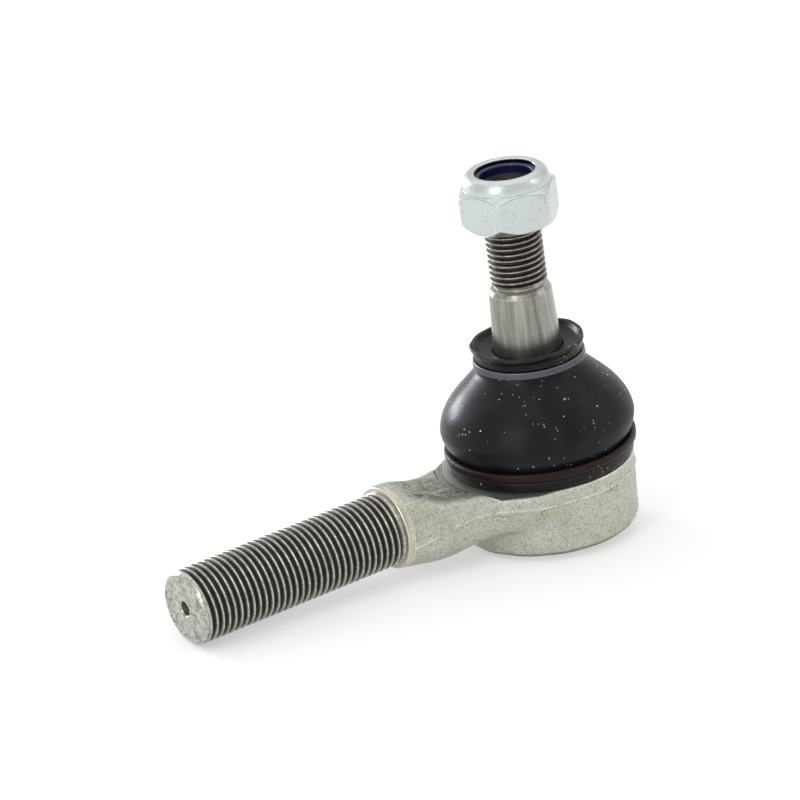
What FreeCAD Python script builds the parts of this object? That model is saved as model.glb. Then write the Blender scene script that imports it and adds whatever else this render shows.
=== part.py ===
import FreeCAD, Part
import os

import Sketcher

# Tie rod end with a spring-loaded ball joint, in millimetres.
# The ball's centre is the origin, the threaded shank points along -X and the ball stud stands along +Z.
# Every driving size is a cell of the sheet named Sizes; outlines, places and fits are formulas over them.

doc = FreeCAD.newDocument("tie_rod_end")

SIZES = {
    # Threaded shank, screwed into the tie rod.
    "shank_length": 90.6,
    "shank_thread_d": 16.0,
    "shank_pitch": 1.5,
    "shank_thread_length": 49.5,
    "shank_chamfer": 0.8,
    "centre_hole_d": 3.6,
    "centre_hole_depth": 3.0,
    "centre_cone_depth": 1.1,
    "centre_pilot_d": 1.8,
    "collar_d": 18.2,
    "collar_length": 1.2,
    "collar_crown": 0.02,
    # Forged neck between the collar and the socket.
    "waist_x": 29.3,
    "waist_half_width": 9.5,
    "waist_top": 4.8,
    "waist_bottom": 8.6,
    "root_x": 19.0,
    "root_half_width": 13.1,
    "root_top": 2.9,
    "root_bottom": 7.6,
    "buried_x": 9.0,
    "buried_half_width": 17.3,
    "buried_drop": 0.6,
    "buried_hollow": 0.3,
    "web_hollow": 1.0,
    "web_round": 2.2,
    "waist_round": 3.4,
    # Socket, bored from below, with a spigot for the boot on top.
    "socket_d": 38.8,
    "socket_low_d": 37.6,
    "socket_floor": 2.3,
    "socket_rim": 2.0,
    "rim_allowance": 1.2,
    "socket_round": 1.8,
    "spot_face_d": 46.0,
    "spot_face_slope": 3.3,
    "rim_width": 2.9,
    "spigot_top": 8.4,
    "bead_groove_depth": 0.8,
    "mouth_land": 0.6,
    "mouth_chamfer": 1.0,
    "closing_lip_d": 26.6,
    "closing_lip_thickness": 0.55,
    # Ball stud.
    "ball_d": 22.0,
    "ball_flat_cut": 2.0,
    "stud_neck_d": 11.8,
    "stud_neck_top": 17.0,
    "taper_start": 21.5,
    "taper_end": 39.9,
    "taper_small_d": 13.2,
    "taper_per_length": 10.0,
    "stud_shoulder": 0.9,
    "shoulder_step": 0.1,
    "undercut_ramp": 0.54,
    "undercut_length": 0.36,
    "stud_thread_d": 12.0,
    "stud_pitch": 1.25,
    "stud_top": 61.0,
    "stud_chamfer": 0.9,
    # Bearing, its preload and the closing plate.
    "ball_clearance": 0.05,
    "seat_wall": 1.9,
    "bore_clearance": 0.05,
    "seat_top": 5.6,
    "seat_split": 3.4,
    "seat_gap": 0.4,
    "seat_slot_width": 1.6,
    "cup_recess": 0.7,
    "cup_hole_d": 11.0,
    "spring_plate": 0.5,
    "spring_inset": 0.5,
    "spring_play": 0.6,
    "cap_thickness": 1.3,
    "cap_ledge": 1.5,
    "cap_dimple_d": 9.0,
    "cap_dimple_depth": 0.35,
    # Rubber boot and its two rings.
    "boot_gap": 0.15,
    "boot_wall": 1.7,
    "boot_bulge_d": 41.2,
    "boot_bulge_z": 10.2,
    "boot_tuck_d": 37.6,
    "boot_shoulder_d": 34.4,
    "boot_shoulder_z": 17.6,
    "lip_base_z": 23.9,
    "lip_waist_d": 22.8,
    "lip_rim_d": 24.1,
    "lip_rim_z": 28.7,
    "lip_dish": 1.1,
    "lip_dish_fall": 0.3,
    "lip_flare": 0.1,
    "lip_flare_start": 1.2,
    "lip_flare_end": 0.4,
    "lip_edge": 0.25,
    "lip_land": 0.65,
    "lip_slope": 0.7,
    "hem_drop": 1.0,
    "hem_wall": 1.2,
    "boot_arc_lift": 0.4,
    "foot_slope": 1.0,
    "lower_ring_z": 4.5,
    "lower_ring_height": 1.95,
    "lower_ring_proud": 0.9,
    "lower_ring_wall": 1.2,
    "lower_ring_round": 0.5,
    "upper_ring_z": 24.3,
    "upper_ring_height": 1.45,
    "upper_ring_d": 23.8,
    "upper_ring_wall": 0.7,
    "upper_ring_round": 0.15,
    # Self-locking nut, wound on the first turns of the stud.
    "nut_seat_z": 55.15,
    "nut_wall": 3.5,
    "nut_corner_angle": 44.0,
    "nut_hex_height": 8.45,
    "nut_corner_height": 7.15,
    "nut_height": 11.55,
    "nut_crown_set": 0.35,
    "nut_rim_wall": 1.2,
    "nut_opening_clearance": 0.3,
    "nut_bore_clearance": 0.06,
    "nut_seat_chamfer": 1.85,
    "nut_bore_chamfer": 0.6,
    "nut_crown_arch": 0.55,
    "nut_crown_drop": 0.9,
    "nut_rim_fall": 0.25,
    "insert_wall": 2.1,
    "insert_grip": 0.6,
    "insert_z": 8.45,
    "insert_height": 2.1,
    "insert_edge": 0.4,
    "insert_clearance": 0.03,
}

THREAD_DEPTH = 0.6134       # depth of an outside thread, in pitches
THREAD_ROOT = 0.125         # flat at the bottom of the groove, in pitches
HALF_FLANK = 0.57735        # tangent of half the 60 degree thread angle
HALF_ROOT_TWO = 0.70711     # cosine of 45 degrees, for the middle of a quarter round
SEAT_SLOTS = 6
BEYOND = "1"                # how far a cutting outline runs past the surface
COLLAR_ROUND = 0.93         # the collar section's corner radius, in its own radius
LOW_ARC, HIGH_ARC = 0.983, 0.94    # the middles of the boot's two arcs, in its bulge radius
SHOULDER_IN, SHOULDER_DOWN = 0.9, 0.6   # the shoulder's inner corner, in wall thicknesses

sheet = doc.addObject("Spreadsheet::Sheet", "Sizes")
for row, (alias, size) in enumerate(SIZES.items(), start=1):
    sheet.set("A%d" % row, alias)
    sheet.set("B%d" % row, str(size))
    sheet.setAlias("B%d" % row, alias)
doc.recompute()


def on_sheet(formula):
    """A formula over the sizes, with each size's name led by the sheet's."""
    words, word = [], ""
    for letter in formula + " ":
        if letter.isalnum() or letter == "_":
            word += letter
            continue
        words.append("Sizes." + word if word in SIZES else word)
        words.append(letter)
        word = ""
    return "".join(words).strip()


def worked_out(formula):
    """The number that a formula over the sizes gives."""
    return float(sheet.evalExpression(on_sheet(formula)))


def new_body(name):
    """An empty body whose label is the sub-part's name."""
    body = doc.addObject("PartDesign::Body", name)
    body.Label = name
    return body


def origin_feature(body, role):
    """The body's own origin plane or axis with that role."""
    for feature in body.Origin.OriginFeatures:
        if feature.Role == role:
            return feature
    raise RuntimeError("no origin feature " + role)


def outline(body, name, path, plane="XZ_Plane", along="0"):
    """A closed sketch through the points of a path, each point a pair of formulas.

    A path entry is a point, or a triple ("arc", middle, end) for an arc from the point before it.
    """
    sketch = body.newObject("Sketcher::SketchObject", name)
    sketch.AttachmentSupport = (origin_feature(body, plane), [""])
    sketch.MapMode = "FlatFace"
    sketch.setExpression("AttachmentOffset.Base.z", on_sheet(along))
    ends = [entry[2] if entry[0] == "arc" else entry for entry in path]
    for index, entry in enumerate(path):
        start = vector(ends[index - 1])
        if entry[0] == "arc":
            edge = Part.Arc(start, vector(entry[1]), vector(entry[2]))
        else:
            edge = Part.LineSegment(start, vector(entry))
        sketch.addGeometry(edge, False)
    for index, entry in enumerate(path):
        start, end = joined_ends(sketch, index, len(path))
        sketch.addConstraint(Sketcher.Constraint("Coincident", *start, *end))
    for index, entry in enumerate(path):
        place_point(sketch, index, arc_or_line_end(sketch, index, ends[index]), ends[index])
        if entry[0] == "arc":
            middle = sketch.addGeometry(Part.Point(vector(entry[1])), True)
            sketch.addConstraint(Sketcher.Constraint("PointOnObject", middle, 1, index))
            place_point(sketch, middle, 1, entry[1])
    doc.recompute()
    if sketch.solve() != 0:
        raise RuntimeError("unsolved sketch " + name)
    return sketch


def vector(point):
    """The sketch point that a pair of formulas gives."""
    return FreeCAD.Vector(worked_out(point[0]), worked_out(point[1]), 0)


def near(point, other):
    """Whether two sketch points are the same place."""
    return (point - other).Length < 1e-6


def arc_or_line_end(sketch, index, end):
    """Which end of an edge, 1 or 2, lies at the given point: an arc may run either way round."""
    return 2 if near(sketch.getPoint(index, 2), vector(end)) else 1


def joined_ends(sketch, index, count):
    """The end of the edge before and the end of this edge that meet."""
    before = (index - 1) % count
    for first in (2, 1):
        for second in (1, 2):
            if near(sketch.getPoint(before, first), sketch.getPoint(index, second)):
                return (before, first), (index, second)
    raise RuntimeError("edges do not meet in " + sketch.Name)


def place_point(sketch, edge, end, point):
    """Hold one point of the sketch at its two formulas."""
    for kind, formula in zip(("DistanceX", "DistanceY"), point):
        distance = worked_out(formula)
        held = (edge, end) if distance < 0 else (-1, 1)
        other = (-1, 1) if distance < 0 else (edge, end)
        sign = "-1 * " if distance < 0 else ""
        number = sketch.addConstraint(Sketcher.Constraint(kind, *held, *other, abs(distance)))
        sketch.setExpression("Constraints[%d]" % number, on_sheet("%s(%s)" % (sign, formula)))


def turned(body, name, path, axis="V_Axis", cut=False):
    """Turn an outline in the XZ plane right round an axis, to add it or to cut it away."""
    sketch = outline(body, name + "_outline", path)
    before = body.Shape.Volume if body.Tip else 0
    kind = "PartDesign::Groove" if cut else "PartDesign::Revolution"
    feature = body.newObject(kind, name)
    feature.Profile = sketch
    feature.ReferenceAxis = (sketch, [axis])
    feature.Angle = 360
    body.Tip = feature
    doc.recompute()
    change = body.Shape.Volume - before
    if (change > -1e-3) if cut else (change < 1e-3):
        raise RuntimeError("feature changes nothing: " + name)
    return feature


def thread_groove(along, radius, pitch):
    """One thread groove's outline, as (place along the axis, radius) pairs."""
    depth = "%s * %s" % (THREAD_DEPTH, pitch)
    root = "%s * %s / 2" % (THREAD_ROOT, pitch)
    proud = "0.1 * " + pitch
    half = "(%s + (%s + %s) * %s)" % (root, depth, proud, HALF_FLANK)
    outer = "%s + %s" % (radius, proud)
    inner = "%s - %s" % (radius, depth)
    return [("%s - %s" % (along, half), outer), ("%s - %s" % (along, root), inner),
            ("%s + %s" % (along, root), inner), ("%s + %s" % (along, half), outer)]


def repeat_groove(body, groove, name, axis, turns, pitch):
    """Repeat a thread groove along its shaft, one turn a pitch."""
    pattern = body.newObject("PartDesign::LinearPattern", name)
    pattern.Originals = [groove]
    pattern.Direction = (groove.Profile[0], [axis])
    pattern.setExpression("Length", on_sheet("(%s - 1) * %s" % (turns, pitch)))
    pattern.setExpression("Occurrences", on_sheet(turns))
    body.Tip = pattern
    doc.recompute()


def swapped(path):
    """The same outline with its two coordinates exchanged, for a shaft that lies along X."""
    return [("arc", point[1][::-1], point[2][::-1]) if point[0] == "arc" else point[::-1] for point in path]


def on_circle(radius, height):
    """How far from the axis a circle about the origin is at that height."""
    return "sqrt((%s)^2 - (%s)^2)" % (radius, height)


def ball_arc(radius, start, end):
    """An arc about the origin between two heights, as the path's arc entry."""
    middle = "(%s + %s) / 2" % (start, end)
    return ("arc", (on_circle(radius, middle), middle), (on_circle(radius, end), end))


# Formulas that more than one sub-part uses.
BALL_R = "ball_d / 2"
SEAT_IN = "(ball_d / 2 + ball_clearance)"
SEAT_OUT = "(ball_d / 2 + ball_clearance + seat_wall)"
BORE_R = "(ball_d / 2 + ball_clearance + seat_wall + bore_clearance)"
SOCKET_DEPTH = "(ball_d / 2 + socket_floor)"
CAP_TOP = "-(%s - closing_lip_thickness - cap_thickness - bore_clearance)" % SOCKET_DEPTH
CAP_R = "(%s + cap_ledge)" % BORE_R
SPIGOT_R = "(socket_d / 2 - rim_width)"
SHOULDER_X = "-(shank_length - shank_thread_length)"
COLLAR_X = "(%s + collar_length)" % SHOULDER_X
GROOVE_R = "(%s - bead_groove_depth)" % SPIGOT_R
FLAT_DEPTH = "(ball_d / 2 - ball_flat_cut)"
CUP_DEPTH = "(ball_d / 2 - cup_recess)"
RING_R = "(socket_d / 2 + lower_ring_proud)"
OPENING_R = "(stud_thread_d / 2 + nut_opening_clearance)"
RIM_R = "(%s + nut_rim_wall)" % OPENING_R
FLAT_R = "(stud_thread_d / 2 + nut_wall)"
CROWN_R = "(%s - nut_crown_set)" % FLAT_R
INSERT_IN = "(stud_thread_d / 2 - insert_grip)"
INSERT_OUT = "(%s + insert_wall)" % INSERT_IN
RING_TOP = "(lower_ring_z + lower_ring_height)"
UPPER_TOP = "(upper_ring_z + upper_ring_height)"


def taper_r(height):
    """The stud taper's radius at a height."""
    return "(taper_small_d / 2 + (taper_end - (%s)) / (2 * taper_per_length))" % height


def neck_section(body, name, x, half_width, top, bottom, hollow, rounding):
    """One cross section of the forged neck: two ridges on top with a shallow hollow between them."""
    # The sketch's own axes are Y and Z; it runs anticlockwise from the lower right corner.
    side, corner = half_width, rounding
    inset = "%s * (1 - %s)" % (corner, HALF_ROOT_TWO)
    low, high = "-(%s)" % bottom, top
    path = [
        ("%s - %s" % (side, corner), low),
        ("arc", ("%s - %s" % (side, inset), "%s + %s" % (low, inset)), (side, "%s + %s" % (low, corner))),
        (side, "%s - %s" % (high, corner)),
        ("arc", ("%s - %s" % (side, inset), "%s - %s" % (high, inset)), ("%s - %s" % (side, corner), high)),
        ("arc", ("0", "%s - %s" % (high, hollow)), ("-(%s - %s)" % (side, corner), high)),
        ("arc", ("-(%s - %s)" % (side, inset), "%s - %s" % (high, inset)),
         ("-(%s)" % side, "%s - %s" % (high, corner))),
        ("-(%s)" % side, "%s + %s" % (low, corner)),
        ("arc", ("-(%s - %s)" % (side, inset), "%s + %s" % (low, inset)),
         ("-(%s - %s)" % (side, corner), low)),
    ]
    return outline(body, name, path, plane="YZ_Plane", along=x)


def add_neck(body):
    """Loft the forged neck from the collar to deep inside the socket."""
    collar_r = "collar_d / 2"
    collar_round = "collar_d / 2 * %s" % COLLAR_ROUND
    sections = [
        neck_section(body, "neck_at_collar", COLLAR_X, collar_r, collar_r, collar_r,
                     "-collar_crown", collar_round),
        neck_section(body, "neck_at_waist", "-waist_x", "waist_half_width", "waist_top", "waist_bottom",
                     "web_hollow", "waist_round"),
        neck_section(body, "neck_at_root", "-root_x", "root_half_width", "root_top", "root_bottom",
                     "web_hollow", "web_round"),
        neck_section(body, "neck_buried", "-buried_x", "buried_half_width",
                     "socket_rim - buried_drop", "root_bottom", "buried_hollow", "web_round"),
    ]
    loft = body.newObject("PartDesign::AdditiveLoft", "neck")
    loft.Profile = sections[0]
    loft.Sections = sections[1:]
    loft.Ruled = False
    body.Tip = loft
    doc.recompute()


def housing():
    """The forged and machined housing: shank, collar, neck and socket in one piece."""
    body = new_body("housing")
    low_r, rim, low = "socket_low_d / 2", "socket_rim", "-" + SOCKET_DEPTH
    blank = "(socket_rim + rim_allowance)"
    inset = "socket_round * (1 - %s)" % HALF_ROOT_TWO
    turned(body, "socket", [
        ("0", low), ("%s - socket_round" % low_r, low),
        ("arc", ("%s - %s" % (low_r, inset), "%s + %s" % (low, inset)), (low_r, "%s + socket_round" % low)),
        ("socket_d / 2", rim), ("socket_d / 2", blank), (SPIGOT_R, blank), (SPIGOT_R, "lower_ring_z"),
        (GROOVE_R, "lower_ring_z + bead_groove_depth / 2"),
        (GROOVE_R, "%s - bead_groove_depth / 2" % RING_TOP), (SPIGOT_R, RING_TOP),
        (SPIGOT_R, "spigot_top"), ("0", "spigot_top")])
    thread_r, tip_x = "shank_thread_d / 2", "-shank_length"
    before = "%s - %s" % (tip_x, BEYOND)
    turned(body, "shank", [
        (tip_x, "0"), (tip_x, "%s - shank_chamfer" % thread_r),
        ("%s + shank_chamfer" % tip_x, thread_r), (SHOULDER_X, thread_r),
        (COLLAR_X, "collar_d / 2"), ("-waist_x", "waist_top - web_hollow"),
        ("-root_x", "root_top - web_hollow"),
        ("-root_x", "0")], axis="H_Axis")
    add_neck(body)
    cut_spot_face(body)
    cut_cavity(body)
    turned(body, "centre_hole", [
        (before, "0"), (before, "centre_hole_d / 2"), (tip_x, "centre_hole_d / 2"),
        ("%s + centre_cone_depth" % tip_x, "centre_pilot_d / 2"),
        ("%s + centre_hole_depth" % tip_x, "centre_pilot_d / 2"),
        ("%s + centre_hole_depth + centre_pilot_d / 4" % tip_x, "0")], axis="H_Axis", cut=True)
    first = "%s + shank_chamfer + shank_pitch / 2" % tip_x
    groove = turned(body, "shank_groove", thread_groove(first, thread_r, "shank_pitch"),
                    axis="H_Axis", cut=True)
    turns = "floor((shank_thread_length - shank_chamfer) / shank_pitch)"
    repeat_groove(body, groove, "shank_thread", "H_Axis", turns, "shank_pitch")
    return body


def cut_spot_face(body):
    """Machine the top of the neck away round the boot's foot, with a coned wall."""
    floor_r = "spot_face_d / 2"
    height = "(collar_d / 2 - socket_rim)"
    turned(body, "spot_face", [
        (SPIGOT_R, "socket_rim"), (floor_r, "socket_rim"),
        ("%s + %s / spot_face_slope" % (floor_r, height), "socket_rim + %s" % height),
        (SPIGOT_R, "socket_rim + %s" % height)], cut=True)


def cut_cavity(body):
    """Bore the socket from below, round its top inside and leave the closing lip."""
    lip_top = "-(%s - closing_lip_thickness)" % SOCKET_DEPTH
    below = "-(%s + %s)" % (SOCKET_DEPTH, BEYOND)
    mouth_z = "(spigot_top - mouth_chamfer - mouth_land)"
    mouth_r = on_circle(BORE_R, mouth_z)
    turned(body, "cavity", [
        ("0", below), ("closing_lip_d / 2", below),
        ("closing_lip_d / 2", lip_top), ("%s + bore_clearance" % CAP_R, lip_top),
        ("%s + bore_clearance" % CAP_R, CAP_TOP), (BORE_R, CAP_TOP), (BORE_R, "0"),
        ball_arc(BORE_R, "0", mouth_z), (mouth_r, "spigot_top - mouth_chamfer"),
        ("%s + mouth_chamfer + %s" % (mouth_r, BEYOND), "spigot_top + " + BEYOND),
        ("0", "spigot_top + " + BEYOND)], cut=True)


def ball_stud():
    """The turned stud: flattened ball, neck, taper, shoulder and fine thread."""
    body = new_body("ball_stud")
    neck_r, thread_r = "stud_neck_d / 2", "stud_thread_d / 2"
    neck_z = on_circle(BALL_R, neck_r)
    root_r = "(%s - %s * stud_pitch)" % (thread_r, THREAD_DEPTH)
    shoulder_z = "taper_end + stud_shoulder"
    plain_end = "(%s + 2 * undercut_ramp + undercut_length)" % shoulder_z
    turned(body, "stud", [
        ("0", "-" + FLAT_DEPTH), (on_circle(BALL_R, FLAT_DEPTH), "-" + FLAT_DEPTH),
        ("arc", (BALL_R, "0"), (neck_r, neck_z)),
        (neck_r, "stud_neck_top"), (taper_r("taper_start"), "taper_start"),
        ("taper_small_d / 2", "taper_end"),
        ("%s + shoulder_step" % thread_r, shoulder_z), (root_r, shoulder_z + " + undercut_ramp"),
        (root_r, shoulder_z + " + undercut_ramp + undercut_length"), (thread_r, plain_end),
        (thread_r, "stud_top - stud_chamfer"), ("%s - stud_chamfer" % thread_r, "stud_top"),
        ("0", "stud_top")])
    first = "%s + stud_pitch / 2 + undercut_length / 2" % plain_end
    groove = turned(body, "stud_groove", swapped(thread_groove(first, thread_r, "stud_pitch")), cut=True)
    turns = "floor((stud_top - stud_chamfer - %s) / stud_pitch)" % plain_end
    repeat_groove(body, groove, "stud_thread", "V_Axis", turns, "stud_pitch")
    return body


def ball_seat():
    """The plastic bearing round the ball, slotted from below so that it snaps over it."""
    body = new_body("ball_seat")
    low = "-seat_split"
    turned(body, "seat", [
        ("arc", (SEAT_IN, "0"), (on_circle(SEAT_IN, "seat_split"), low)), (SEAT_OUT, low), (SEAT_OUT, "0"),
        ball_arc(SEAT_OUT, "0", "seat_top"), (on_circle(SEAT_IN, "seat_top"), "seat_top")])
    half, below = "seat_slot_width / 2", "%s - %s" % (low, BEYOND)
    sketch = outline(body, "slot_outline", [
        (half, below), (half, "0"), ("-(%s)" % half, "0"), ("-(%s)" % half, below)],
        plane="YZ_Plane")
    slot = body.newObject("PartDesign::Pocket", "slot")
    slot.Profile = sketch
    slot.Reversed = True
    slot.setExpression("Length", on_sheet("%s + %s" % (SEAT_OUT, BEYOND)))
    doc.recompute()
    slots = body.newObject("PartDesign::PolarPattern", "slots")
    slots.Originals = [slot]
    slots.Axis = (origin_feature(body, "Z_Axis"), [""])
    slots.Angle = 360
    slots.Occurrences = SEAT_SLOTS
    body.Tip = slots
    doc.recompute()
    return body


def pressure_cup():
    """The lower bearing cup that the spring presses against the ball."""
    body = new_body("pressure_cup")
    top = "-(seat_split + seat_gap)"
    hole_r = "cup_hole_d / 2"
    edge = "-%s" % on_circle(SEAT_IN, hole_r)
    middle = "((seat_split + seat_gap + %s) / 2)" % on_circle(SEAT_IN, hole_r)
    turned(body, "cup", [
        (hole_r, "-" + CUP_DEPTH), (SEAT_OUT, "-" + CUP_DEPTH), (SEAT_OUT, top),
        (on_circle(SEAT_IN, "seat_split + seat_gap"), top),
        ("arc", (on_circle(SEAT_IN, middle), "-" + middle), (hole_r, edge))])
    return body


def disc_spring():
    """The coned disc spring between the cup and the end cap."""
    body = new_body("disc_spring")
    top, low = "-(%s + bore_clearance)" % CUP_DEPTH, "%s + bore_clearance" % CAP_TOP
    inner, outer = "cup_hole_d / 2 + spring_inset", "%s - spring_play" % BORE_R
    turned(body, "spring", [
        (inner, "%s - spring_plate" % top), (outer, low), (outer, "%s + spring_plate" % low), (inner, top)])
    return body


def end_cap():
    """The closing plate that the socket's lower lip holds."""
    body = new_body("end_cap")
    low = "-(%s - closing_lip_thickness - bore_clearance)" % SOCKET_DEPTH
    dimple = "cap_dimple_d / 2"
    turned(body, "cap", [
        ("0", "%s + cap_dimple_depth" % low), (dimple, "%s + cap_dimple_depth" % low),
        ("%s + cap_dimple_depth" % dimple, low), (CAP_R, low),
        (CAP_R, "%s - bore_clearance" % CAP_TOP), ("0", "%s - bore_clearance" % CAP_TOP)])
    return body


def boot_ring(name, low, height, outer, wall, rounding):
    """A retaining ring with rounded edges, clamped round the boot."""
    body = new_body(name)
    inner, top = "(%s - %s)" % (outer, wall), "(%s + %s)" % (low, height)
    inset = "%s * (1 - %s)" % (rounding, HALF_ROOT_TWO)
    turned(body, name + "_band", [
        (inner, low), ("%s - %s" % (outer, rounding), low),
        ("arc", ("%s - %s" % (outer, inset), "%s + %s" % (low, inset)),
         (outer, "%s + %s" % (low, rounding))),
        (outer, "%s - %s" % (top, rounding)),
        ("arc", ("%s - %s" % (outer, inset), "%s - %s" % (top, inset)),
         ("%s - %s" % (outer, rounding), top)),
        (inner, top)])
    return body


def dust_boot():
    """The rubber boot: foot, tucked ring groove, bulging wall, upper ring groove and dished lip."""
    body = new_body("dust_boot")
    gap = "boot_gap"
    foot_low = "socket_rim + boot_gap"
    foot_r, tuck_r, bulge_r = "socket_d / 2", "boot_tuck_d / 2", "boot_bulge_d / 2"
    groove_r = "(%s - lower_ring_wall - boot_gap)" % RING_R
    bead_r = "%s + boot_gap" % GROOVE_R
    shoulder_r, shoulder_z = "boot_shoulder_d / 2", "boot_shoulder_z"
    waist_r = "(upper_ring_d / 2 - upper_ring_wall - boot_gap)"
    hole_r = "%s + %s" % (taper_r("lip_base_z"), gap)
    rim_r = "lip_rim_d / 2"
    middle_z = "(boot_bulge_z + %s) / 2" % shoulder_z
    upper_mid = ("%s * %s" % (bulge_r, HIGH_ARC), middle_z + " + boot_arc_lift")
    dish_z = "lip_rim_z - lip_dish"
    hem_z = "lip_base_z - hem_drop"
    turned(body, "boot", [
        ("%s + %s" % (SPIGOT_R, gap), foot_low), (foot_r, foot_low), (foot_r, "lower_ring_z - %s" % gap),
        (groove_r, "lower_ring_z - %s" % gap), (groove_r, "%s + %s" % (RING_TOP, gap)),
        (tuck_r, "%s + %s" % (RING_TOP, gap)),
        ("arc", ("%s * %s" % (bulge_r, LOW_ARC), "(%s + boot_bulge_z) / 2" % RING_TOP),
         (bulge_r, "boot_bulge_z")),
        ("arc", upper_mid, (shoulder_r, shoulder_z)),
        ("lip_waist_d / 2", "lip_base_z"), (waist_r, "upper_ring_z - %s" % gap),
        (waist_r, "%s + %s" % (UPPER_TOP, gap)), ("lip_waist_d / 2", "%s + %s" % (UPPER_TOP, gap)),
        ("lip_waist_d / 2 + lip_flare", "lip_rim_z - lip_flare_start"),
        (rim_r, "lip_rim_z - lip_flare_end"),
        ("%s - lip_edge" % rim_r, "lip_rim_z"), ("%s - lip_edge - lip_land" % rim_r, "lip_rim_z"),
        ("%s - lip_edge - lip_land - lip_slope" % rim_r, dish_z), (hole_r, dish_z + " - lip_dish_fall"),
        (hole_r, hem_z), ("%s + hem_wall" % hole_r, hem_z),
        ("%s - boot_wall * %s" % (shoulder_r, SHOULDER_IN),
         "%s - boot_wall * %s" % (shoulder_z, SHOULDER_DOWN)),
        ("arc", ("%s * %s - boot_wall" % (bulge_r, HIGH_ARC), middle_z),
         ("%s - boot_wall" % bulge_r, "boot_bulge_z")),
        ("%s + %s" % (SPIGOT_R, gap), "%s + foot_slope" % RING_TOP),
        ("%s + %s" % (SPIGOT_R, gap), RING_TOP),
        (bead_r, "%s - bead_groove_depth / 2 - %s" % (RING_TOP, gap)),
        (bead_r, "lower_ring_z + bead_groove_depth / 2 + %s" % gap),
        ("%s + %s" % (SPIGOT_R, gap), "lower_ring_z")])
    return body


def lock_nut():
    """The hexagon nut: chamfered hexagon, crimped crown, plain clearance bore and insert recess."""
    body = new_body("lock_nut")
    flat_r = FLAT_R
    corner_r = "(2 * %s / sqrt(3))" % flat_r
    half = "%s / sqrt(3)" % flat_r
    hexagon = outline(body, "hexagon", [
        (corner_r, "0"), (half, flat_r), ("-(%s)" % half, flat_r),
        ("-(%s)" % corner_r, "0"), ("-(%s)" % half, "-(%s)" % flat_r), (half, "-(%s)" % flat_r)],
        plane="XY_Plane")
    block = body.newObject("PartDesign::Pad", "hexagon_block")
    block.Profile = hexagon
    block.setExpression("Length", on_sheet("nut_hex_height"))
    body.Tip = block
    doc.recompute()
    beyond = "%s + %s" % (corner_r, BEYOND)
    slope = "(nut_hex_height - nut_corner_height) / (%s - %s) * %s" % (corner_r, CROWN_R, BEYOND)
    above = "nut_hex_height + " + BEYOND
    seat_slope = "nut_seat_chamfer / (%s - %s)" % (corner_r, flat_r)
    turned(body, "top_chamfer", [
        (CROWN_R, "nut_hex_height"), (beyond, "nut_corner_height - %s" % slope),
        (beyond, above), (CROWN_R, above)], cut=True)
    turned(body, "seat_chamfer", [
        (flat_r, "0"), (flat_r, "-" + BEYOND), (beyond, "-" + BEYOND),
        (beyond, "nut_seat_chamfer + %s * %s" % (seat_slope, BEYOND))], cut=True)
    turned(body, "crown", [
        ("0", "nut_corner_height"), (CROWN_R, "nut_corner_height"), (CROWN_R, "nut_hex_height"),
        ("arc", ("%s - nut_crown_arch" % CROWN_R, "nut_height - nut_crown_drop"), (RIM_R, "nut_height")),
        (OPENING_R, "nut_height - nut_rim_fall"), ("0", "nut_height - nut_rim_fall")])
    bore_r = "(stud_thread_d / 2 + nut_bore_clearance)"
    recess_r = "(%s + insert_clearance)" % INSERT_OUT
    recess_top = "(insert_z + insert_height + insert_clearance)"
    recess_low = "(insert_z - insert_clearance)"
    turned(body, "nut_bore", [
        ("0", "-" + BEYOND), ("%s + nut_bore_chamfer + %s" % (bore_r, BEYOND), "-" + BEYOND),
        (bore_r, "nut_bore_chamfer"),
        (bore_r, recess_low), (recess_r, recess_low), (recess_r, recess_top), (OPENING_R, recess_top),
        (OPENING_R, "nut_height + " + BEYOND), ("0", "nut_height + " + BEYOND)], cut=True)
    set_on_stud(body)
    return body


def nylon_insert():
    """The nylon locking ring held under the nut's crimped crown."""
    body = new_body("nylon_insert")
    top = "(insert_z + insert_height)"
    turned(body, "insert", [
        (INSERT_IN + " + insert_edge", "insert_z"), (INSERT_OUT, "insert_z"), (INSERT_OUT, top),
        (INSERT_IN + " + insert_edge", top), (INSERT_IN, "%s - insert_edge" % top),
        (INSERT_IN, "insert_z + insert_edge")])
    set_on_stud(body)
    return body


def set_on_stud(body):
    """Lift the nut's pieces to where the nut sits on the thread, and turn its corners."""
    body.setExpression("Placement.Base.z", on_sheet("nut_seat_z"))
    body.Placement.Rotation = FreeCAD.Rotation(FreeCAD.Vector(0, 0, 1), SIZES["nut_corner_angle"])
    doc.recompute()


def check(bodies):
    """Stop if any object failed or any sub-part isn't one valid solid."""
    failed = [item.Name for item in doc.Objects if {"Invalid", "Error"} & set(item.State)]
    for body in bodies:
        shape = body.Shape
        if shape.isNull() or not shape.isValid() or len(shape.Solids) != 1:
            failed.append(body.Label)
    if failed:
        raise RuntimeError("failed: " + ", ".join(failed))


sub_parts = [
    housing(), ball_stud(), ball_seat(), pressure_cup(), disc_spring(), end_cap(), dust_boot(),
    boot_ring("lower_boot_ring", "lower_ring_z", "lower_ring_height", RING_R, "lower_ring_wall",
              "lower_ring_round"),
    boot_ring("upper_boot_ring", "upper_ring_z", "upper_ring_height", "(upper_ring_d / 2)",
              "upper_ring_wall", "upper_ring_round"),
    lock_nut(), nylon_insert(),
]
doc.recompute()
check(sub_parts)
os.makedirs("parts", exist_ok=True)
for sub_part in sub_parts:
    sub_part.Shape.exportStep("parts/%s.step" % sub_part.Label)
    print("%-18s %9.1f mm3" % (sub_part.Label, sub_part.Shape.Volume))
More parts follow.
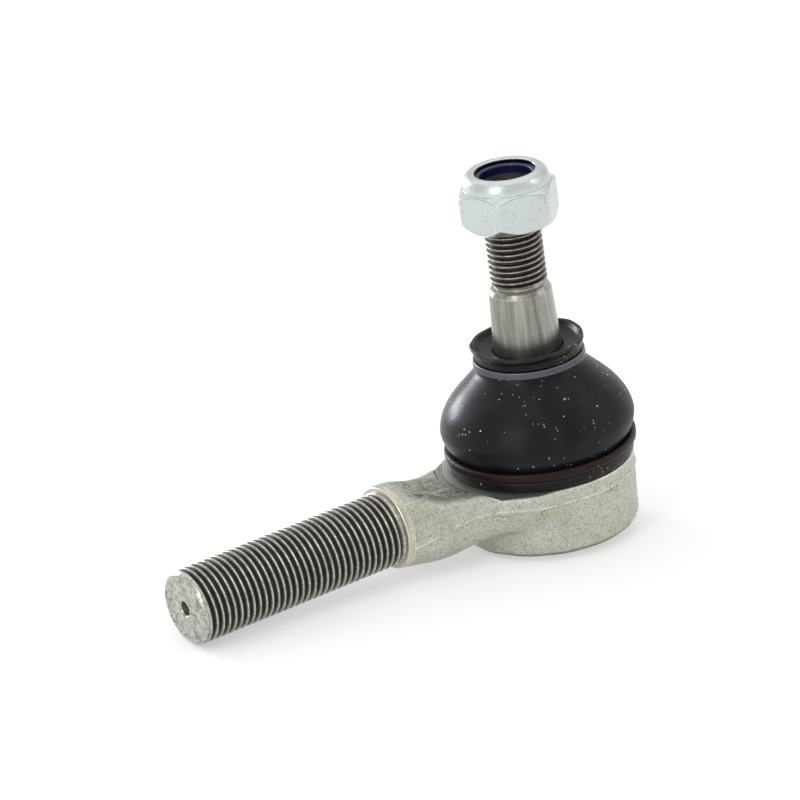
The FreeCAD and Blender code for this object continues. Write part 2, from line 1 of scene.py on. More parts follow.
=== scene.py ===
"""The looks of a tie rod end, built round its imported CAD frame.

Lengths are millimetres in the row frame unless a name says metres: the ball's centre is the origin, the
threaded shank lies along -X and the ball stud stands along +Z. Meshes are scaled to metres as they are made.
"""

import logging
import math
from dataclasses import dataclass, field
from enum import Enum
from typing import Callable, Iterable, Sequence

import bmesh
import bpy
import numpy as np
from mathutils import Matrix, Vector


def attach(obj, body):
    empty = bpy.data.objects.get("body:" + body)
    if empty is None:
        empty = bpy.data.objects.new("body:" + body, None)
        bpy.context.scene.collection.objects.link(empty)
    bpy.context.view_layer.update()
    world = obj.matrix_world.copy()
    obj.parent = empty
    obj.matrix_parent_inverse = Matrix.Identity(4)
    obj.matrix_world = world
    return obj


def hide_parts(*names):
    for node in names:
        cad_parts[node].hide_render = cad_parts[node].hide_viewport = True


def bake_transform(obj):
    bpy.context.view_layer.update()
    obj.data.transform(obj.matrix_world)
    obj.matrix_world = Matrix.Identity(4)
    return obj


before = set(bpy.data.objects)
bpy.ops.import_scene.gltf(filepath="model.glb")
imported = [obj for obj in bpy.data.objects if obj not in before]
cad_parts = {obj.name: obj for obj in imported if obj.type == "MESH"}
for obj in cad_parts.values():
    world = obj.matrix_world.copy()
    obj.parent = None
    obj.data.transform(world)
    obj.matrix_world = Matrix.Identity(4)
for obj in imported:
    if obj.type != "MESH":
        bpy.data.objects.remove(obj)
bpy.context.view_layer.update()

MM = 0.001
LOG = logging.getLogger("tie_rod_end")
Point = tuple[float, float]
Colour = tuple[float, float, float]


class Body(Enum):
    """The CAD bodies that pieces ride on."""

    HOUSING = "housing_body"
    BOOT = "boot_body"
    LIP = "lip_body"
    STUD = "stud_body"
    NUT_CARRIER = "nut_carrier"
    NUT = "nut_body"


# ---------------------------------------------------------------------------------------------------------
# Mesh building
# ---------------------------------------------------------------------------------------------------------

def make_object(name: str, verts: np.ndarray, faces: np.ndarray, smooth_angle: float = 30.0) -> bpy.types.Object:
    """Make a mesh object from points in millimetres and faces.

    Args:
        name: The object's name.
        verts: Points, one row each, in millimetres.
        faces: Triangles or quads, one row each.
        smooth_angle: Faces that meet at less than this many degrees shade smoothly.

    Returns:
        The object, linked to the scene and sitting at the origin.
    """
    mesh = bpy.data.meshes.new(name)
    mesh.from_pydata((verts * MM).tolist(), [], faces.tolist())
    mesh.update()
    mesh.shade_smooth()
    mesh.set_sharp_from_angle(angle=math.radians(smooth_angle))
    obj = bpy.data.objects.new(name, mesh)
    bpy.context.scene.collection.objects.link(obj)
    return obj


def spaced(points: Sequence[Point], step: float) -> list[Point]:
    """Divide the straight runs of a profile so that none is longer than a step.

    Args:
        points: The profile's corners.
        step: The longest run wanted, in millimetres.

    Returns:
        The profile with the extra points.
    """
    out = [points[0]]
    for (a, b), (c, d) in zip(points, points[1:]):
        parts = max(1, math.ceil(math.hypot(c - a, d - b) / step))
        out += [(a + (c - a) * k / parts, b + (d - b) * k / parts) for k in range(1, parts + 1)]
    return out


def run_on(profile: list[Point], end: Point, parts: int) -> None:
    """Run a profile straight on to a point.

    Args:
        profile: The profile's points so far, which are added to.
        end: The point.
        parts: How many equal runs lead to it.
    """
    (a, b), (c, d) = profile[-1], end
    profile += [(a + (c - a) * k / parts, b + (d - b) * k / parts) for k in range(1, parts)] + [end]


def rounded(points: Sequence[Point], radii: Sequence[float], steps: int = 5) -> list[Point]:
    """Round the corners of a profile with arcs.

    Args:
        points: The profile's corners.
        radii: One radius a corner; 0 keeps the corner, and the two ends are always kept.
        steps: How many runs each arc has.

    Returns:
        The rounded profile.
    """
    out = [points[0]]
    for before, here, after, radius in zip(points, points[1:], points[2:], radii[1:]):
        if radius <= 0:
            out.append(here)
            continue
        p, a, b = (np.array(q, float) for q in (here, before, after))
        u, v = (a - p) / np.linalg.norm(a - p), (b - p) / np.linalg.norm(b - p)
        half = math.acos(float(np.clip(u @ v, -1, 1))) / 2
        reach = radius / math.tan(half)
        reach = min(reach, 0.49 * np.linalg.norm(a - p), 0.49 * np.linalg.norm(b - p))
        radius = reach * math.tan(half)
        centre = p + (u + v) / np.linalg.norm(u + v) * (radius / math.sin(half))
        start, end = p + u * reach - centre, p + v * reach - centre
        turn = math.atan2(start[0] * end[1] - start[1] * end[0], start @ end)
        for k in range(steps + 1):
            c, s = math.cos(turn * k / steps), math.sin(turn * k / steps)
            out.append(tuple(centre + np.array([start[0] * c - start[1] * s, start[0] * s + start[1] * c])))
    out.append(points[-1])
    return out


def smooth_profile(points: Sequence[Point], steps: int = 8) -> list[Point]:
    """A smooth curve through the points of a profile.

    Args:
        points: The points that the curve passes through.
        steps: How many runs there are between two points.

    Returns:
        The curve's points.
    """
    p = np.array(points, float)
    padded = np.vstack([2 * p[0] - p[1], p, 2 * p[-1] - p[-2]])
    out = [tuple(p[0])]
    for k in range(1, len(p)):
        a, b, c, d = padded[k - 1:k + 3]
        for s in range(1, steps + 1):
            w = s / steps
            out.append(tuple(0.5 * (2 * b + (c - a) * w + (2 * a - 5 * b + 4 * c - d) * w ** 2
                                    + (3 * b - a - 3 * c + d) * w ** 3)))
    return out


def lathe(name: str, profile: Sequence[Point], segments: int, closed: bool = False,
          smooth_angle: float = 30.0) -> bpy.types.Object:
    """Turn a profile of (radius, height) points about the Z axis into a closed mesh.

    Args:
        name: The object's name.
        profile: The profile's points. An open one starts and ends on the axis; a closed one goes round a ring.
        segments: How many sides the turned piece has.
        closed: Whether the profile's last point joins its first.
        smooth_angle: Faces that meet at less than this many degrees shade smoothly.

    Returns:
        The object, with its faces pointing outwards.
    """
    radius, height = np.array(profile, float).T
    verts, faces = turned_grid(np.repeat(radius[:, None], segments, 1), height, closed)
    obj = make_object(name, verts, faces, smooth_angle)
    tidy_normals(obj, smooth_angle)
    return obj


def turned_grid(radius: np.ndarray, height: np.ndarray, closed: bool) -> tuple[np.ndarray, np.ndarray]:
    """The points and quads of a profile that is turned about the Z axis.

    Args:
        radius: The radius at each side, one row for each of the profile's points.
        height: The place of each of the profile's points along the axis.
        closed: Whether the profile's last point joins its first.

    Returns:
        The points and the quads.
    """
    rows, sides = radius.shape
    angle = np.arange(sides) * 2 * math.pi / sides
    verts = np.stack([radius * np.cos(angle), radius * np.sin(angle), np.repeat(height[:, None], sides, 1)], -1)
    row, column = np.meshgrid(np.arange(rows if closed else rows - 1), np.arange(sides), indexing="ij")
    above, beside = (row + 1) % rows, (column + 1) % sides
    quads = np.stack([row * sides + column, row * sides + beside, above * sides + beside,
                      above * sides + column], -1)
    return verts.reshape(-1, 3), quads.reshape(-1, 4)


def ring(name: str, profile: Sequence[Point], step: float, segments: int,
         smooth_angle: float = 30.0) -> bpy.types.Object:
    """Turn a closed profile into a ring about the Z axis.

    Args:
        name: The object's name.
        profile: The profile's points; the last joins the first.
        step: The longest run wanted between two points, in millimetres.
        segments: How many sides the ring has.
        smooth_angle: Faces that meet at less than this many degrees shade smoothly.

    Returns:
        The object.
    """
    return lathe(name, spaced([*profile, profile[0]], step)[:-1], segments, True, smooth_angle)


def places(obj: bpy.types.Object) -> np.ndarray:
    """Where an object's points are.

    Args:
        obj: The object.

    Returns:
        The places, one row each, in millimetres.
    """
    flat = np.zeros(len(obj.data.vertices) * 3)
    obj.data.vertices.foreach_get("co", flat)
    return flat.reshape(-1, 3) / MM


def move_to(obj: bpy.types.Object, place: np.ndarray) -> None:
    """Move an object's points to new places, in millimetres."""
    obj.data.vertices.foreach_set("co", (place * MM).astype(np.float32).ravel())
    obj.data.update()


def tidy_normals(obj: bpy.types.Object, smooth_angle: float) -> None:
    """Merge an object's doubles, drop faces with no area and point its faces outwards.

    Args:
        obj: The object.
        smooth_angle: Faces that meet at less than this many degrees shade smoothly.
    """
    bm = bmesh.new()
    bm.from_mesh(obj.data)
    bmesh.ops.remove_doubles(bm, verts=bm.verts, dist=1e-7)
    bmesh.ops.dissolve_degenerate(bm, edges=bm.edges, dist=1e-8)
    bmesh.ops.recalc_face_normals(bm, faces=bm.faces)
    bm.to_mesh(obj.data)
    bm.free()
    obj.data.shade_smooth()
    obj.data.set_sharp_from_angle(angle=math.radians(smooth_angle))


def surface_of(distance: Callable[[np.ndarray], np.ndarray], low: Sequence[float], high: Sequence[float],
               step: float) -> tuple[np.ndarray, np.ndarray]:
    """Mesh the zero surface of a distance function, with its vertices pulled on to the surface.

    Args:
        distance: Gives each point's distance outside the solid, negative inside.
        low: The lowest corner of the space to search.
        high: The highest corner of that space.
        step: The size of one cell, in millimetres.

    Returns:
        The surface's points and its quads.
    """
    axes = [np.arange(a, b + step, step) for a, b in zip(low, high)]
    grid = np.stack(np.meshgrid(*axes, indexing="ij"), -1)
    shape = grid.shape[:3]
    value = distance(grid.reshape(-1, 3)).reshape(shape)
    inside = value < 0
    cells = tuple(n - 1 for n in shape)
    total, count = np.zeros(cells + (3,)), np.zeros(cells)
    corners = [(i, j, k) for i in (0, 1) for j in (0, 1) for k in (0, 1)]
    for a in corners:
        for along in range(3):
            if a[along]:
                continue
            b = tuple(a[m] + (m == along) for m in range(3))
            sa = tuple(slice(a[m], a[m] + cells[m]) for m in range(3))
            sb = tuple(slice(b[m], b[m] + cells[m]) for m in range(3))
            crossed = inside[sa] != inside[sb]
            share = value[sa][crossed] / (value[sa][crossed] - value[sb][crossed])
            total[crossed] += grid[sa][crossed] + (grid[sb][crossed] - grid[sa][crossed]) * share[:, None]
            count[crossed] += 1
    used = count > 0
    number = np.full(cells, -1)
    number[used] = np.arange(used.sum())
    verts = total[used] / count[used][:, None]
    quads = []
    for along in range(3):
        u, v = [m for m in range(3) if m != along]
        low_side = [slice(1, -1)] * 3
        low_side[along] = slice(0, -1)
        high_side = list(low_side)
        high_side[along] = slice(1, None)
        a, b = inside[tuple(low_side)], inside[tuple(high_side)]
        for crossed, flip in ((a & ~b, False), (~a & b, True)):
            index = np.argwhere(crossed) + np.array([0 if m == along else 1 for m in range(3)])
            ring = []
            for du, dv in ((-1, -1), (0, -1), (0, 0), (-1, 0)):
                cell = index.copy()
                cell[:, u] += du
                cell[:, v] += dv
                ring.append(number[tuple(cell.T)])
            quad = np.stack(ring, -1)
            if flip ^ (along == 1):
                quad = quad[:, ::-1]
            quads.append(quad)
    faces = np.concatenate(quads)
    for _ in range(3):
        verts = verts - pull(distance, verts, 0.02)
    return verts, faces


def pull(distance: Callable[[np.ndarray], np.ndarray], verts: np.ndarray, probe: float) -> np.ndarray:
    """How far each point must move to reach the zero surface of a distance function.

    Args:
        distance: The distance function.
        verts: The points.
        probe: How far apart its slope is measured.

    Returns:
        Each point's move, to be taken away from its place.
    """
    here = distance(verts)
    slope = np.stack([distance(verts + np.eye(3)[m] * probe) - here for m in range(3)], -1) / probe
    size = np.maximum((slope ** 2).sum(-1), 0.2)
    return slope * np.clip(here / size, -0.4, 0.4)[:, None]


def ramp(value: np.ndarray, none: float, full: float) -> np.ndarray:
    """How far a value is along the way from where there is none of something to where it is full, from 0 to 1."""
    return np.clip((value - none) / (full - none), 0, 1)


def soft_min(a: np.ndarray, b: np.ndarray, blend: float) -> np.ndarray:
    """The lesser of two distances, rounded where they meet."""
    w = np.clip(0.5 + 0.5 * (b - a) / blend, 0, 1)
    return b + (a - b) * w - blend * w * (1 - w)


def soft_max(a: np.ndarray, b: np.ndarray, blend: float) -> np.ndarray:
    """The greater of two distances, rounded where they meet."""
    return -soft_min(-a, -b, blend)


def mark_turns(obj: bpy.types.Object, blur: int = 2) -> None:
    """Store how sharply an object's surface turns, in 1/mm: above 0 on edges and below 0 in corners.

    Args:
        obj: The piece, with its normals outwards.
        blur: How many times the values are averaged with those beside them.
    """
    mesh = obj.data
    count = len(mesh.vertices)
    place, normal = places(obj), np.zeros(count * 3)
    mesh.vertices.foreach_get("normal", normal)
    normal = normal.reshape(-1, 3)
    ends = np.zeros(len(mesh.edges) * 2, int)
    mesh.edges.foreach_get("vertices", ends)
    a, b = ends.reshape(-1, 2).T
    apart = place[a] - place[b]
    square = np.maximum((apart ** 2).sum(1), 1e-3)
    turn_a, turn_b = 2 * (normal[a] * apart).sum(1) / square, -2 * (normal[b] * apart).sum(1) / square
    beside = np.maximum(np.bincount(a, minlength=count) + np.bincount(b, minlength=count), 1)
    turn = (np.bincount(a, turn_a, count) + np.bincount(b, turn_b, count)) / beside
    for _ in range(blur):
        turn = (turn + (np.bincount(a, turn[b], count) + np.bincount(b, turn[a], count)) / beside) / 2
    add_attribute(obj, "turn", np.clip(turn, -4, 4))


def set_attribute(obj: bpy.types.Object, name: str, chosen: np.ndarray, value: float) -> None:
    """Give the chosen vertices one value of an attribute that the object has.

    Args:
        obj: The object.
        name: The attribute's name.
        chosen: True for each vertex that is set.
        value: The value.
    """
    data = obj.data.attributes[name].data
    for index in np.flatnonzero(chosen).tolist():
        data[index].value = value


def add_attribute(obj: bpy.types.Object, name: str, values: np.ndarray) -> None:
    """Store one number a vertex on an object."""
    attribute = obj.data.attributes.new(name, "FLOAT", "POINT")
    attribute.data.foreach_set("value", values.astype(np.float32))


# ---------------------------------------------------------------------------------------------------------
# Shader groups and finishes
# ---------------------------------------------------------------------------------------------------------

Socket = bpy.types.NodeSocket
Number = Socket | float


def rgba(colour: Colour) -> tuple[float, float, float, float]:
    """A colour with full alpha."""
    return (*colour, 1.0)


def shade(colour: Colour, share: float) -> Colour:
    """A colour made darker."""
    return tuple(part * share for part in colour)


class Graph:
    """A shader or geometry node tree with short ways to add and join nodes. Inputs are sockets or values."""

    def __init__(self, tree: bpy.types.NodeTree) -> None:
        """Keep the tree to add to."""
        self.tree = tree

    def add(self, kind: str, settings: dict | None = None, **inputs: object) -> bpy.types.Node:
        """Add a node.

        Args:
            kind: The node's type.
            settings: Properties of the node to set.
            **inputs: Sockets by name, with _ for a space, or by i and number: another socket, or a value.

        Returns:
            The node.
        """
        node = self.tree.nodes.new(kind)
        for name, value in (settings or {}).items():
            setattr(node, name, value)
        for name, value in inputs.items():
            numbered = name[0] == "i" and name[1:].isdigit()
            socket = node.inputs[int(name[1:]) if numbered else name.replace("_", " ")]
            if isinstance(value, Socket):
                self.link(value, socket)
            else:
                socket.default_value = value
        return node

    def link(self, start: Socket, end: Socket) -> None:
        """Join two sockets."""
        self.tree.links.new(start, end)

    def place(self) -> Socket:
        """Where the point is on its piece."""
        return self.add("ShaderNodeTexCoord").outputs["Object"]

    def attribute(self, name: str) -> Socket:
        """One of the piece's own attributes."""
        return self.add("ShaderNodeAttribute", {"attribute_name": name}).outputs["Fac"]

    def split(self, vector: Socket) -> bpy.types.NodeOutputs:
        """A vector's three parts."""
        return self.add("ShaderNodeSeparateXYZ", None, Vector=vector).outputs

    def join(self, x: Number, y: Number, z: Number = 0.0) -> Socket:
        """A vector of three parts."""
        return self.add("ShaderNodeCombineXYZ", None, X=x, Y=y, Z=z).outputs[0]

    def length(self, vector: Socket) -> Socket:
        """A vector's length."""
        return self.add("ShaderNodeVectorMath", {"operation": "LENGTH"}, i0=vector).outputs["Value"]

    def maths(self, operation: str, a: Number, b: Number = 0.0, clamp: bool = False) -> Socket:
        """One Math node's result."""
        return self.add("ShaderNodeMath", {"operation": operation, "use_clamp": clamp}, i0=a, i1=b).outputs[0]

    def plus(self, a: Number, b: Number, clamp: bool = False) -> Socket:
        """The sum of two numbers."""
        return self.maths("ADD", a, b, clamp)

    def minus(self, a: Number, b: Number) -> Socket:
        """One number less another."""
        return self.maths("SUBTRACT", a, b)

    def times(self, a: Number, b: Number) -> Socket:
        """The product of two numbers."""
        return self.maths("MULTIPLY", a, b)

    def over(self, a: Number, b: Number, clamp: bool = False) -> Socket:
        """One number divided by another."""
        return self.maths("DIVIDE", a, b, clamp)

    def noise(self, vector: Socket, scale: Number, detail: float = 3.0, roughness: float = 0.55) -> Socket:
        """A noise texture's value."""
        return self.add("ShaderNodeTexNoise", None, Vector=vector, Scale=scale, Detail=detail,
                        Roughness=roughness).outputs[0]

    def remap(self, value: Socket, low: float, high: float, to_low: float = 0.0, to_high: float = 1.0) -> Socket:
        """A value stretched from one range to another and held inside it."""
        return self.add("ShaderNodeMapRange", None, Value=value, From_Min=low, From_Max=high, To_Min=to_low,
                        To_Max=to_high).outputs[0]

    def mix(self, factor: Number, a: Socket | Colour, b: Socket | Colour, blend: str = "MIX") -> Socket:
        """Mix two colours.

        Args:
            factor: How much of the second there is.
            a: The first colour.
            b: The second colour.
            blend: How the second is laid on the first.

        Returns:
            The mixed colour.
        """
        a, b = (rgba(colour) if isinstance(colour, tuple) else colour for colour in (a, b))
        return self.add("ShaderNodeMix", {"data_type": "RGBA", "blend_type": blend}, i0=factor, i6=a,
                        i7=b).outputs[2]


class Group(Graph):
    """A shader node group that takes and puts out numbers."""

    def __init__(self, name: str, inputs: dict[str, float], outputs: Iterable[str]) -> None:
        """Start the group.

        Args:
            name: The group's name.
            inputs: Its inputs and their defaults.
            outputs: Its outputs.
        """
        super().__init__(bpy.data.node_groups.new(name, "ShaderNodeTree"))
        face, kind = self.tree.interface, "NodeSocketFloat"
        for key, value in inputs.items():
            face.new_socket(key, in_out="INPUT", socket_type=kind).default_value = value
        for key in outputs:
            face.new_socket(key, in_out="OUTPUT", socket_type=kind)
        self.given = self.add("NodeGroupInput").outputs

    def put_out(self, **outputs: Socket) -> bpy.types.NodeTree:
        """Join what the group puts out, and give its tree."""
        self.add("NodeGroupOutput", None, **outputs)
        return self.tree


def grain_group() -> bpy.types.NodeTree:
    """A crystalline speckle for plated forgings: light and dark grains, larger clouds and a height.

    Returns:
        The group.
    """
    group = Group("plated grain", {"Grain Scale": 3000.0, "Cloud Scale": 140.0, "Contrast": 1.0},
                  ("Grain", "Clouds", "Height"))
    place, scale = group.place(), group.given["Grain Scale"]
    fine = group.noise(place, scale, 2.0, 0.7)
    coarse = group.noise(place, group.times(scale, 0.37), 3.0, 0.65)
    cells = group.add("ShaderNodeTexVoronoi", None, Vector=place, Randomness=1.0, Scale=group.times(scale, 0.6))
    tone = group.add("ShaderNodeSeparateColor", None, Color=cells.outputs["Color"]).outputs[0]
    parts = [group.times(group.minus(part, 0.5), share)
             for part, share in ((fine, 1.5), (coarse, 1.5), (tone, 0.28))]
    grains = group.times(group.plus(group.plus(parts[0], parts[1]), parts[2]), group.given["Contrast"])
    return group.put_out(Grain=group.plus(grains, 0.5, True),
                         Clouds=group.noise(place, group.given["Cloud Scale"], 3.0, 0.6),
                         Height=group.plus(coarse, group.times(fine, 0.6)))


def dust_group() -> bpy.types.NodeTree:
    """Round specks of dust in loose clusters, of uneven size, and a faint film between them.

    Returns:
        The group.
    """
    group = Group("dust specks", {"Speck Scale": 500.0, "Amount": 0.1, "Size": 0.12}, ("Specks", "Film"))
    place = group.place()
    cells = group.add("ShaderNodeTexVoronoi", None, Vector=place, Randomness=1.0, Scale=group.given["Speck Scale"])
    parts = group.add("ShaderNodeSeparateColor", None, Color=cells.outputs["Color"]).outputs
    crowd = group.remap(group.noise(place, 170.0), 0.42, 0.66, 0.25, 2.6)
    chosen = group.maths("LESS_THAN", parts[0], group.times(group.given["Amount"], crowd))
    reach = group.times(group.given["Size"], group.plus(parts[1], 0.35))
    near = group.maths("LESS_THAN", cells.outputs["Distance"], reach)
    bright = group.plus(group.times(parts[2], 0.75), 0.25)
    return group.put_out(Specks=group.times(group.times(chosen, near), bright),
                         Film=group.remap(group.noise(place, 160.0, 5.0, 0.65), 0.45, 0.75))


def turning_group() -> bpy.types.NodeTree:
    """Fine tool lines round a turned surface: thin rings along one axis, with a little unevenness.

    Returns:
        The group.
    """
    group = Group("turning lines", {"Lines Scale": 9000.0, "Along X": 0.0}, ("Lines",))
    place = group.place()
    xyz = group.split(place)
    along = group.add("ShaderNodeMix", None, i0=group.given["Along X"], i2=xyz[2], i3=xyz[0]).outputs[0]
    line = group.join(group.times(along, group.given["Lines Scale"]), group.noise(place, 90.0, 2.0))
    return group.put_out(Lines=group.noise(line, 1.0, 3.0, 0.7))


def reflection_streak_group() -> bpy.types.NodeTree:
    """Painted reflections: long light and dark streaks that run along the Z axis, like a ground taper's
    reflections.

    Returns:
        The group.
    """
    group = Group("long streaks", {"Streak Scale": 500.0, "Squeeze": 0.05}, ("Streaks",))
    xyz = group.split(group.place())
    drawn = group.join(xyz[0], xyz[1], group.times(xyz[2], group.given["Squeeze"]))
    return group.put_out(Streaks=group.noise(drawn, group.given["Streak Scale"], 3.0, 0.6))


def facing_group() -> bpy.types.NodeTree:
    """The concentric lines that a facing tool leaves round the Z axis.

    Returns:
        The group.
    """
    group = Group("facing lines", {"Lines Scale": 4000.0}, ("Lines",))
    place = group.place()
    xyz = group.split(place)
    radius = group.length(group.join(xyz[0], xyz[1]))
    line = group.join(group.times(radius, group.given["Lines Scale"]), group.noise(place, 80.0, 2.0))
    return group.put_out(Lines=group.noise(line, 1.0, 2.0, 0.6))


def scratch_group() -> bpy.types.NodeTree:
    """Sparse thin cracks and scratches that wander over a surface.

    Returns:
        The group.
    """
    group = Group("scratches", {"Scratch Scale": 180.0, "Width": 0.02, "Rarity": 0.55}, ("Scratches",))
    place = group.place()
    sway = group.add("ShaderNodeTexNoise", None, Vector=place, Scale=350.0, Detail=3.0).outputs["Color"]
    push = group.add("ShaderNodeVectorMath", {"operation": "SCALE"}, i0=sway, Scale=0.004).outputs[0]
    bent = group.add("ShaderNodeVectorMath", {"operation": "ADD"}, i0=place, i1=push).outputs[0]
    cells = group.add("ShaderNodeTexVoronoi", {"feature": "DISTANCE_TO_EDGE"}, Vector=bent,
                      Scale=group.given["Scratch Scale"])
    thin = group.maths("LESS_THAN", cells.outputs["Distance"], group.given["Width"])
    here = group.maths("GREATER_THAN", group.noise(place, 210.0, 2.0), group.given["Rarity"])
    return group.put_out(Scratches=group.times(thin, here))


def wear_and_corner_shade_group() -> bpy.types.NodeTree:
    """Bright rubbed edges and painted shade in corners, read from the piece's own turn attribute and broken up by
    noise.

    Returns:
        The group: it reads how sharply the surface turns, and puts out two masks.
    """
    group = Group("edge wear", {"Edge Turn": 1.2, "Break Up": 0.5}, ("Edges", "Corners"))
    broken = group.times(group.minus(group.noise(group.place(), 900.0, 4.0), 0.5), group.given["Break Up"])
    share = group.plus(group.over(group.attribute("turn"), group.given["Edge Turn"]), broken)
    return group.put_out(Edges=group.remap(share, 0.25, 1.0), Corners=group.remap(share, -1.0, -0.25, 1.0, 0.0))


class EffectRack:
    """The shader groups that the finishes share, each built once."""

    def __init__(self) -> None:
        """Build every group."""
        self.grain, self.dust, self.lines = grain_group(), dust_group(), turning_group()
        self.wear_and_shade, self.streaks = wear_and_corner_shade_group(), reflection_streak_group()
        self.facing, self.scratches = facing_group(), scratch_group()


class Coat(Graph):
    """A material's nodes, with its shader's inputs and the shared groups at hand."""

    def __init__(self, name: str, effects: EffectRack) -> None:
        """Start the material.

        Args:
            name: Its name.
            effects: The shared shader groups.
        """
        self.material = bpy.data.materials.new(name)
        self.material.use_nodes = True
        super().__init__(self.material.node_tree)
        self.shader = self.tree.nodes["Principled BSDF"].inputs
        self.effects = effects

    def effect(self, tree: bpy.types.NodeTree, **values: float) -> bpy.types.NodeOutputs:
        """What a shared group puts out, placed here with its own values."""
        return self.add("ShaderNodeGroup", {"node_tree": tree}, **values).outputs

    def grain(self, scale: float, clouds: float, contrast: float = 1.0) -> bpy.types.NodeOutputs:
        """What the grain group puts out."""
        return self.effect(self.effects.grain, Grain_Scale=scale, Cloud_Scale=clouds, Contrast=contrast)

    def lines(self, scale: float, along_x: float = 0.0) -> Socket:
        """The tool lines of a turned surface."""
        return self.effect(self.effects.lines, Lines_Scale=scale, Along_X=along_x)["Lines"]

    def dust(self, scale: float, amount: float, size: float) -> bpy.types.NodeOutputs:
        """What the dust group puts out."""
        return self.effect(self.effects.dust, Speck_Scale=scale, Amount=amount, Size=size)

    def scratches(self, scale: float, width: float, rarity: float) -> Socket:
        """The mask of scratches."""
        return self.effect(self.effects.scratches, Scratch_Scale=scale, Width=width, Rarity=rarity)["Scratches"]

    def wear_and_shade(self, edge_turn: float, break_up: float) -> bpy.types.NodeOutputs:
        """What the group of rubbed edges and painted corner shade puts out."""
        return self.effect(self.effects.wear_and_shade, Edge_Turn=edge_turn, Break_Up=break_up)

    def layer(self, under: Socket | Colour, mask: Socket, share: float, colour: Socket | Colour) -> Socket:
        """A colour laid over another by a share of a mask."""
        return self.mix(self.times(mask, share), under, colour)

    def surface(self, colour: Socket, rough: Socket, height: Socket, strength: float, depth_mm: float) -> None:
        """Join a colour, a roughness and a relief to the shader.

        Args:
            colour: The base colour.
            rough: The roughness.
            height: The relief's height.
            strength: How strong the relief is.
            depth_mm: How deep it is, in millimetres.
        """
        relief = self.add("ShaderNodeBump", None, Strength=strength, Distance=depth_mm * MM, Height=height)
        for start, name in ((colour, "Base Color"), (rough, "Roughness"), (relief.outputs[0], "Normal")):
            self.link(start, self.shader[name])


@dataclass(frozen=True)
class Finish:
    """What every finish has: a name, a colour, and how rough and how metallic it is."""

    name: str
    colour: Colour
    roughness: float
    metallic: float = 0.0

    def material(self, effects: EffectRack) -> bpy.types.Material:
        """Make the finish's material.

        Args:
            effects: The shared shader groups.

        Returns:
            The material.
        """
        coat = Coat(self.name, effects)
        coat.shader["Base Color"].default_value = rgba(self.colour)
        coat.shader["Roughness"].default_value = self.roughness
        coat.shader["Metallic"].default_value = self.metallic
        coat.material.diffuse_color = rgba(self.colour)
        self.dress(coat)
        return coat.material

    def dress(self, coat: Coat) -> None:
        """Add the finish's own nodes. The plain finish has none."""

    def rough(self, coat: Coat, mask: Socket, span: Point, change: Point) -> Socket:
        """The finish's roughness, changed by two amounts where a mask is at the two ends of a span."""
        return coat.remap(mask, *span, self.roughness + change[0], self.roughness + change[1])


@dataclass(frozen=True)
class ForgedZinc(Finish):
    """A zinc plated forging: fine crystalline grain, a yellowish tint in patches, faced rings darkened partly as
    painted shadow, and painted shade in its hollows, corners and low parts.
    """

    dark: Colour = (0.17, 0.175, 0.16)
    tint: Colour = (0.86, 0.85, 0.72)
    edge: Colour = (0.93, 0.88, 0.68)
    # The faced ring's colour, darkened partly as painted shadow of the boot's foot.
    faced: Colour = (0.44, 0.45, 0.40)
    # Painted shade in the neck's top hollow.
    hollow_shade: Colour = (0.035, 0.036, 0.03)
    # Painted shade in corners.
    corner: Colour = (0.06, 0.06, 0.05)
    shadow: Colour = (0.10, 0.11, 0.125)
    grain_scale: float = 7200.0

    def dress(self, coat: Coat) -> None:
        """Mix grain, tint, the faced ring, rubbed edges and painted shade in the hollows, corners and low parts
        into the colour, roughness and relief.

        Args:
            coat: The material's nodes.
        """
        grain, coarse, wear_and_shade = coat.grain(self.grain_scale, 120.0), coat.grain(1900.0, 400.0), coat.wear_and_shade(1.2, 1.3)
        flecks = coat.plus(coat.times(grain["Grain"], 0.82), coat.times(coarse["Grain"], 0.18))
        colour = coat.mix(coat.remap(flecks, 0.58, 0.30, 0.0, 0.60), self.colour, self.dark)
        colour = coat.mix(coat.remap(grain["Clouds"], 0.42, 0.66, 0.0, 0.6), colour, self.tint, "MULTIPLY")
        lines = coat.effect(coat.effects.facing, Lines_Scale=2600.0)["Lines"]
        cut = coat.mix(coat.remap(lines, 0.38, 0.60, 0.0, 0.8), self.faced, shade(self.faced, 0.3))
        hollow = coat.attribute("hollow")
        # Painted shade in the hollow, broken into specks by the coarse grain.
        hollow_shade = coat.times(hollow, coat.remap(coarse["Grain"], 0.43, 0.55))
        # Layers: scratches, the faced ring, painted shade in the hollow, rubbed edges, painted shade in corners and
        # painted shade along the low parts.
        for mask, share, over in ((coat.scratches(110.0, 0.014, 0.58), 0.55, self.dark),
                                  (coat.attribute("faced"), 0.8, cut), (hollow_shade, 0.92, self.hollow_shade),
                                  (wear_and_shade["Edges"], 0.65, self.edge), (wear_and_shade["Corners"], 0.7, self.corner),
                                  (coat.attribute("low"), 0.8, self.shadow)):
            colour = coat.layer(colour, mask, share, over)
        rough = coat.plus(self.rough(coat, grain["Grain"], (0.2, 0.8), (0.14, -0.08)), coat.times(hollow_shade, 0.25))
        height = coat.plus(grain["Height"], coat.times(hollow, coarse["Height"]))
        coat.surface(colour, rough, height, 0.30, 0.09)


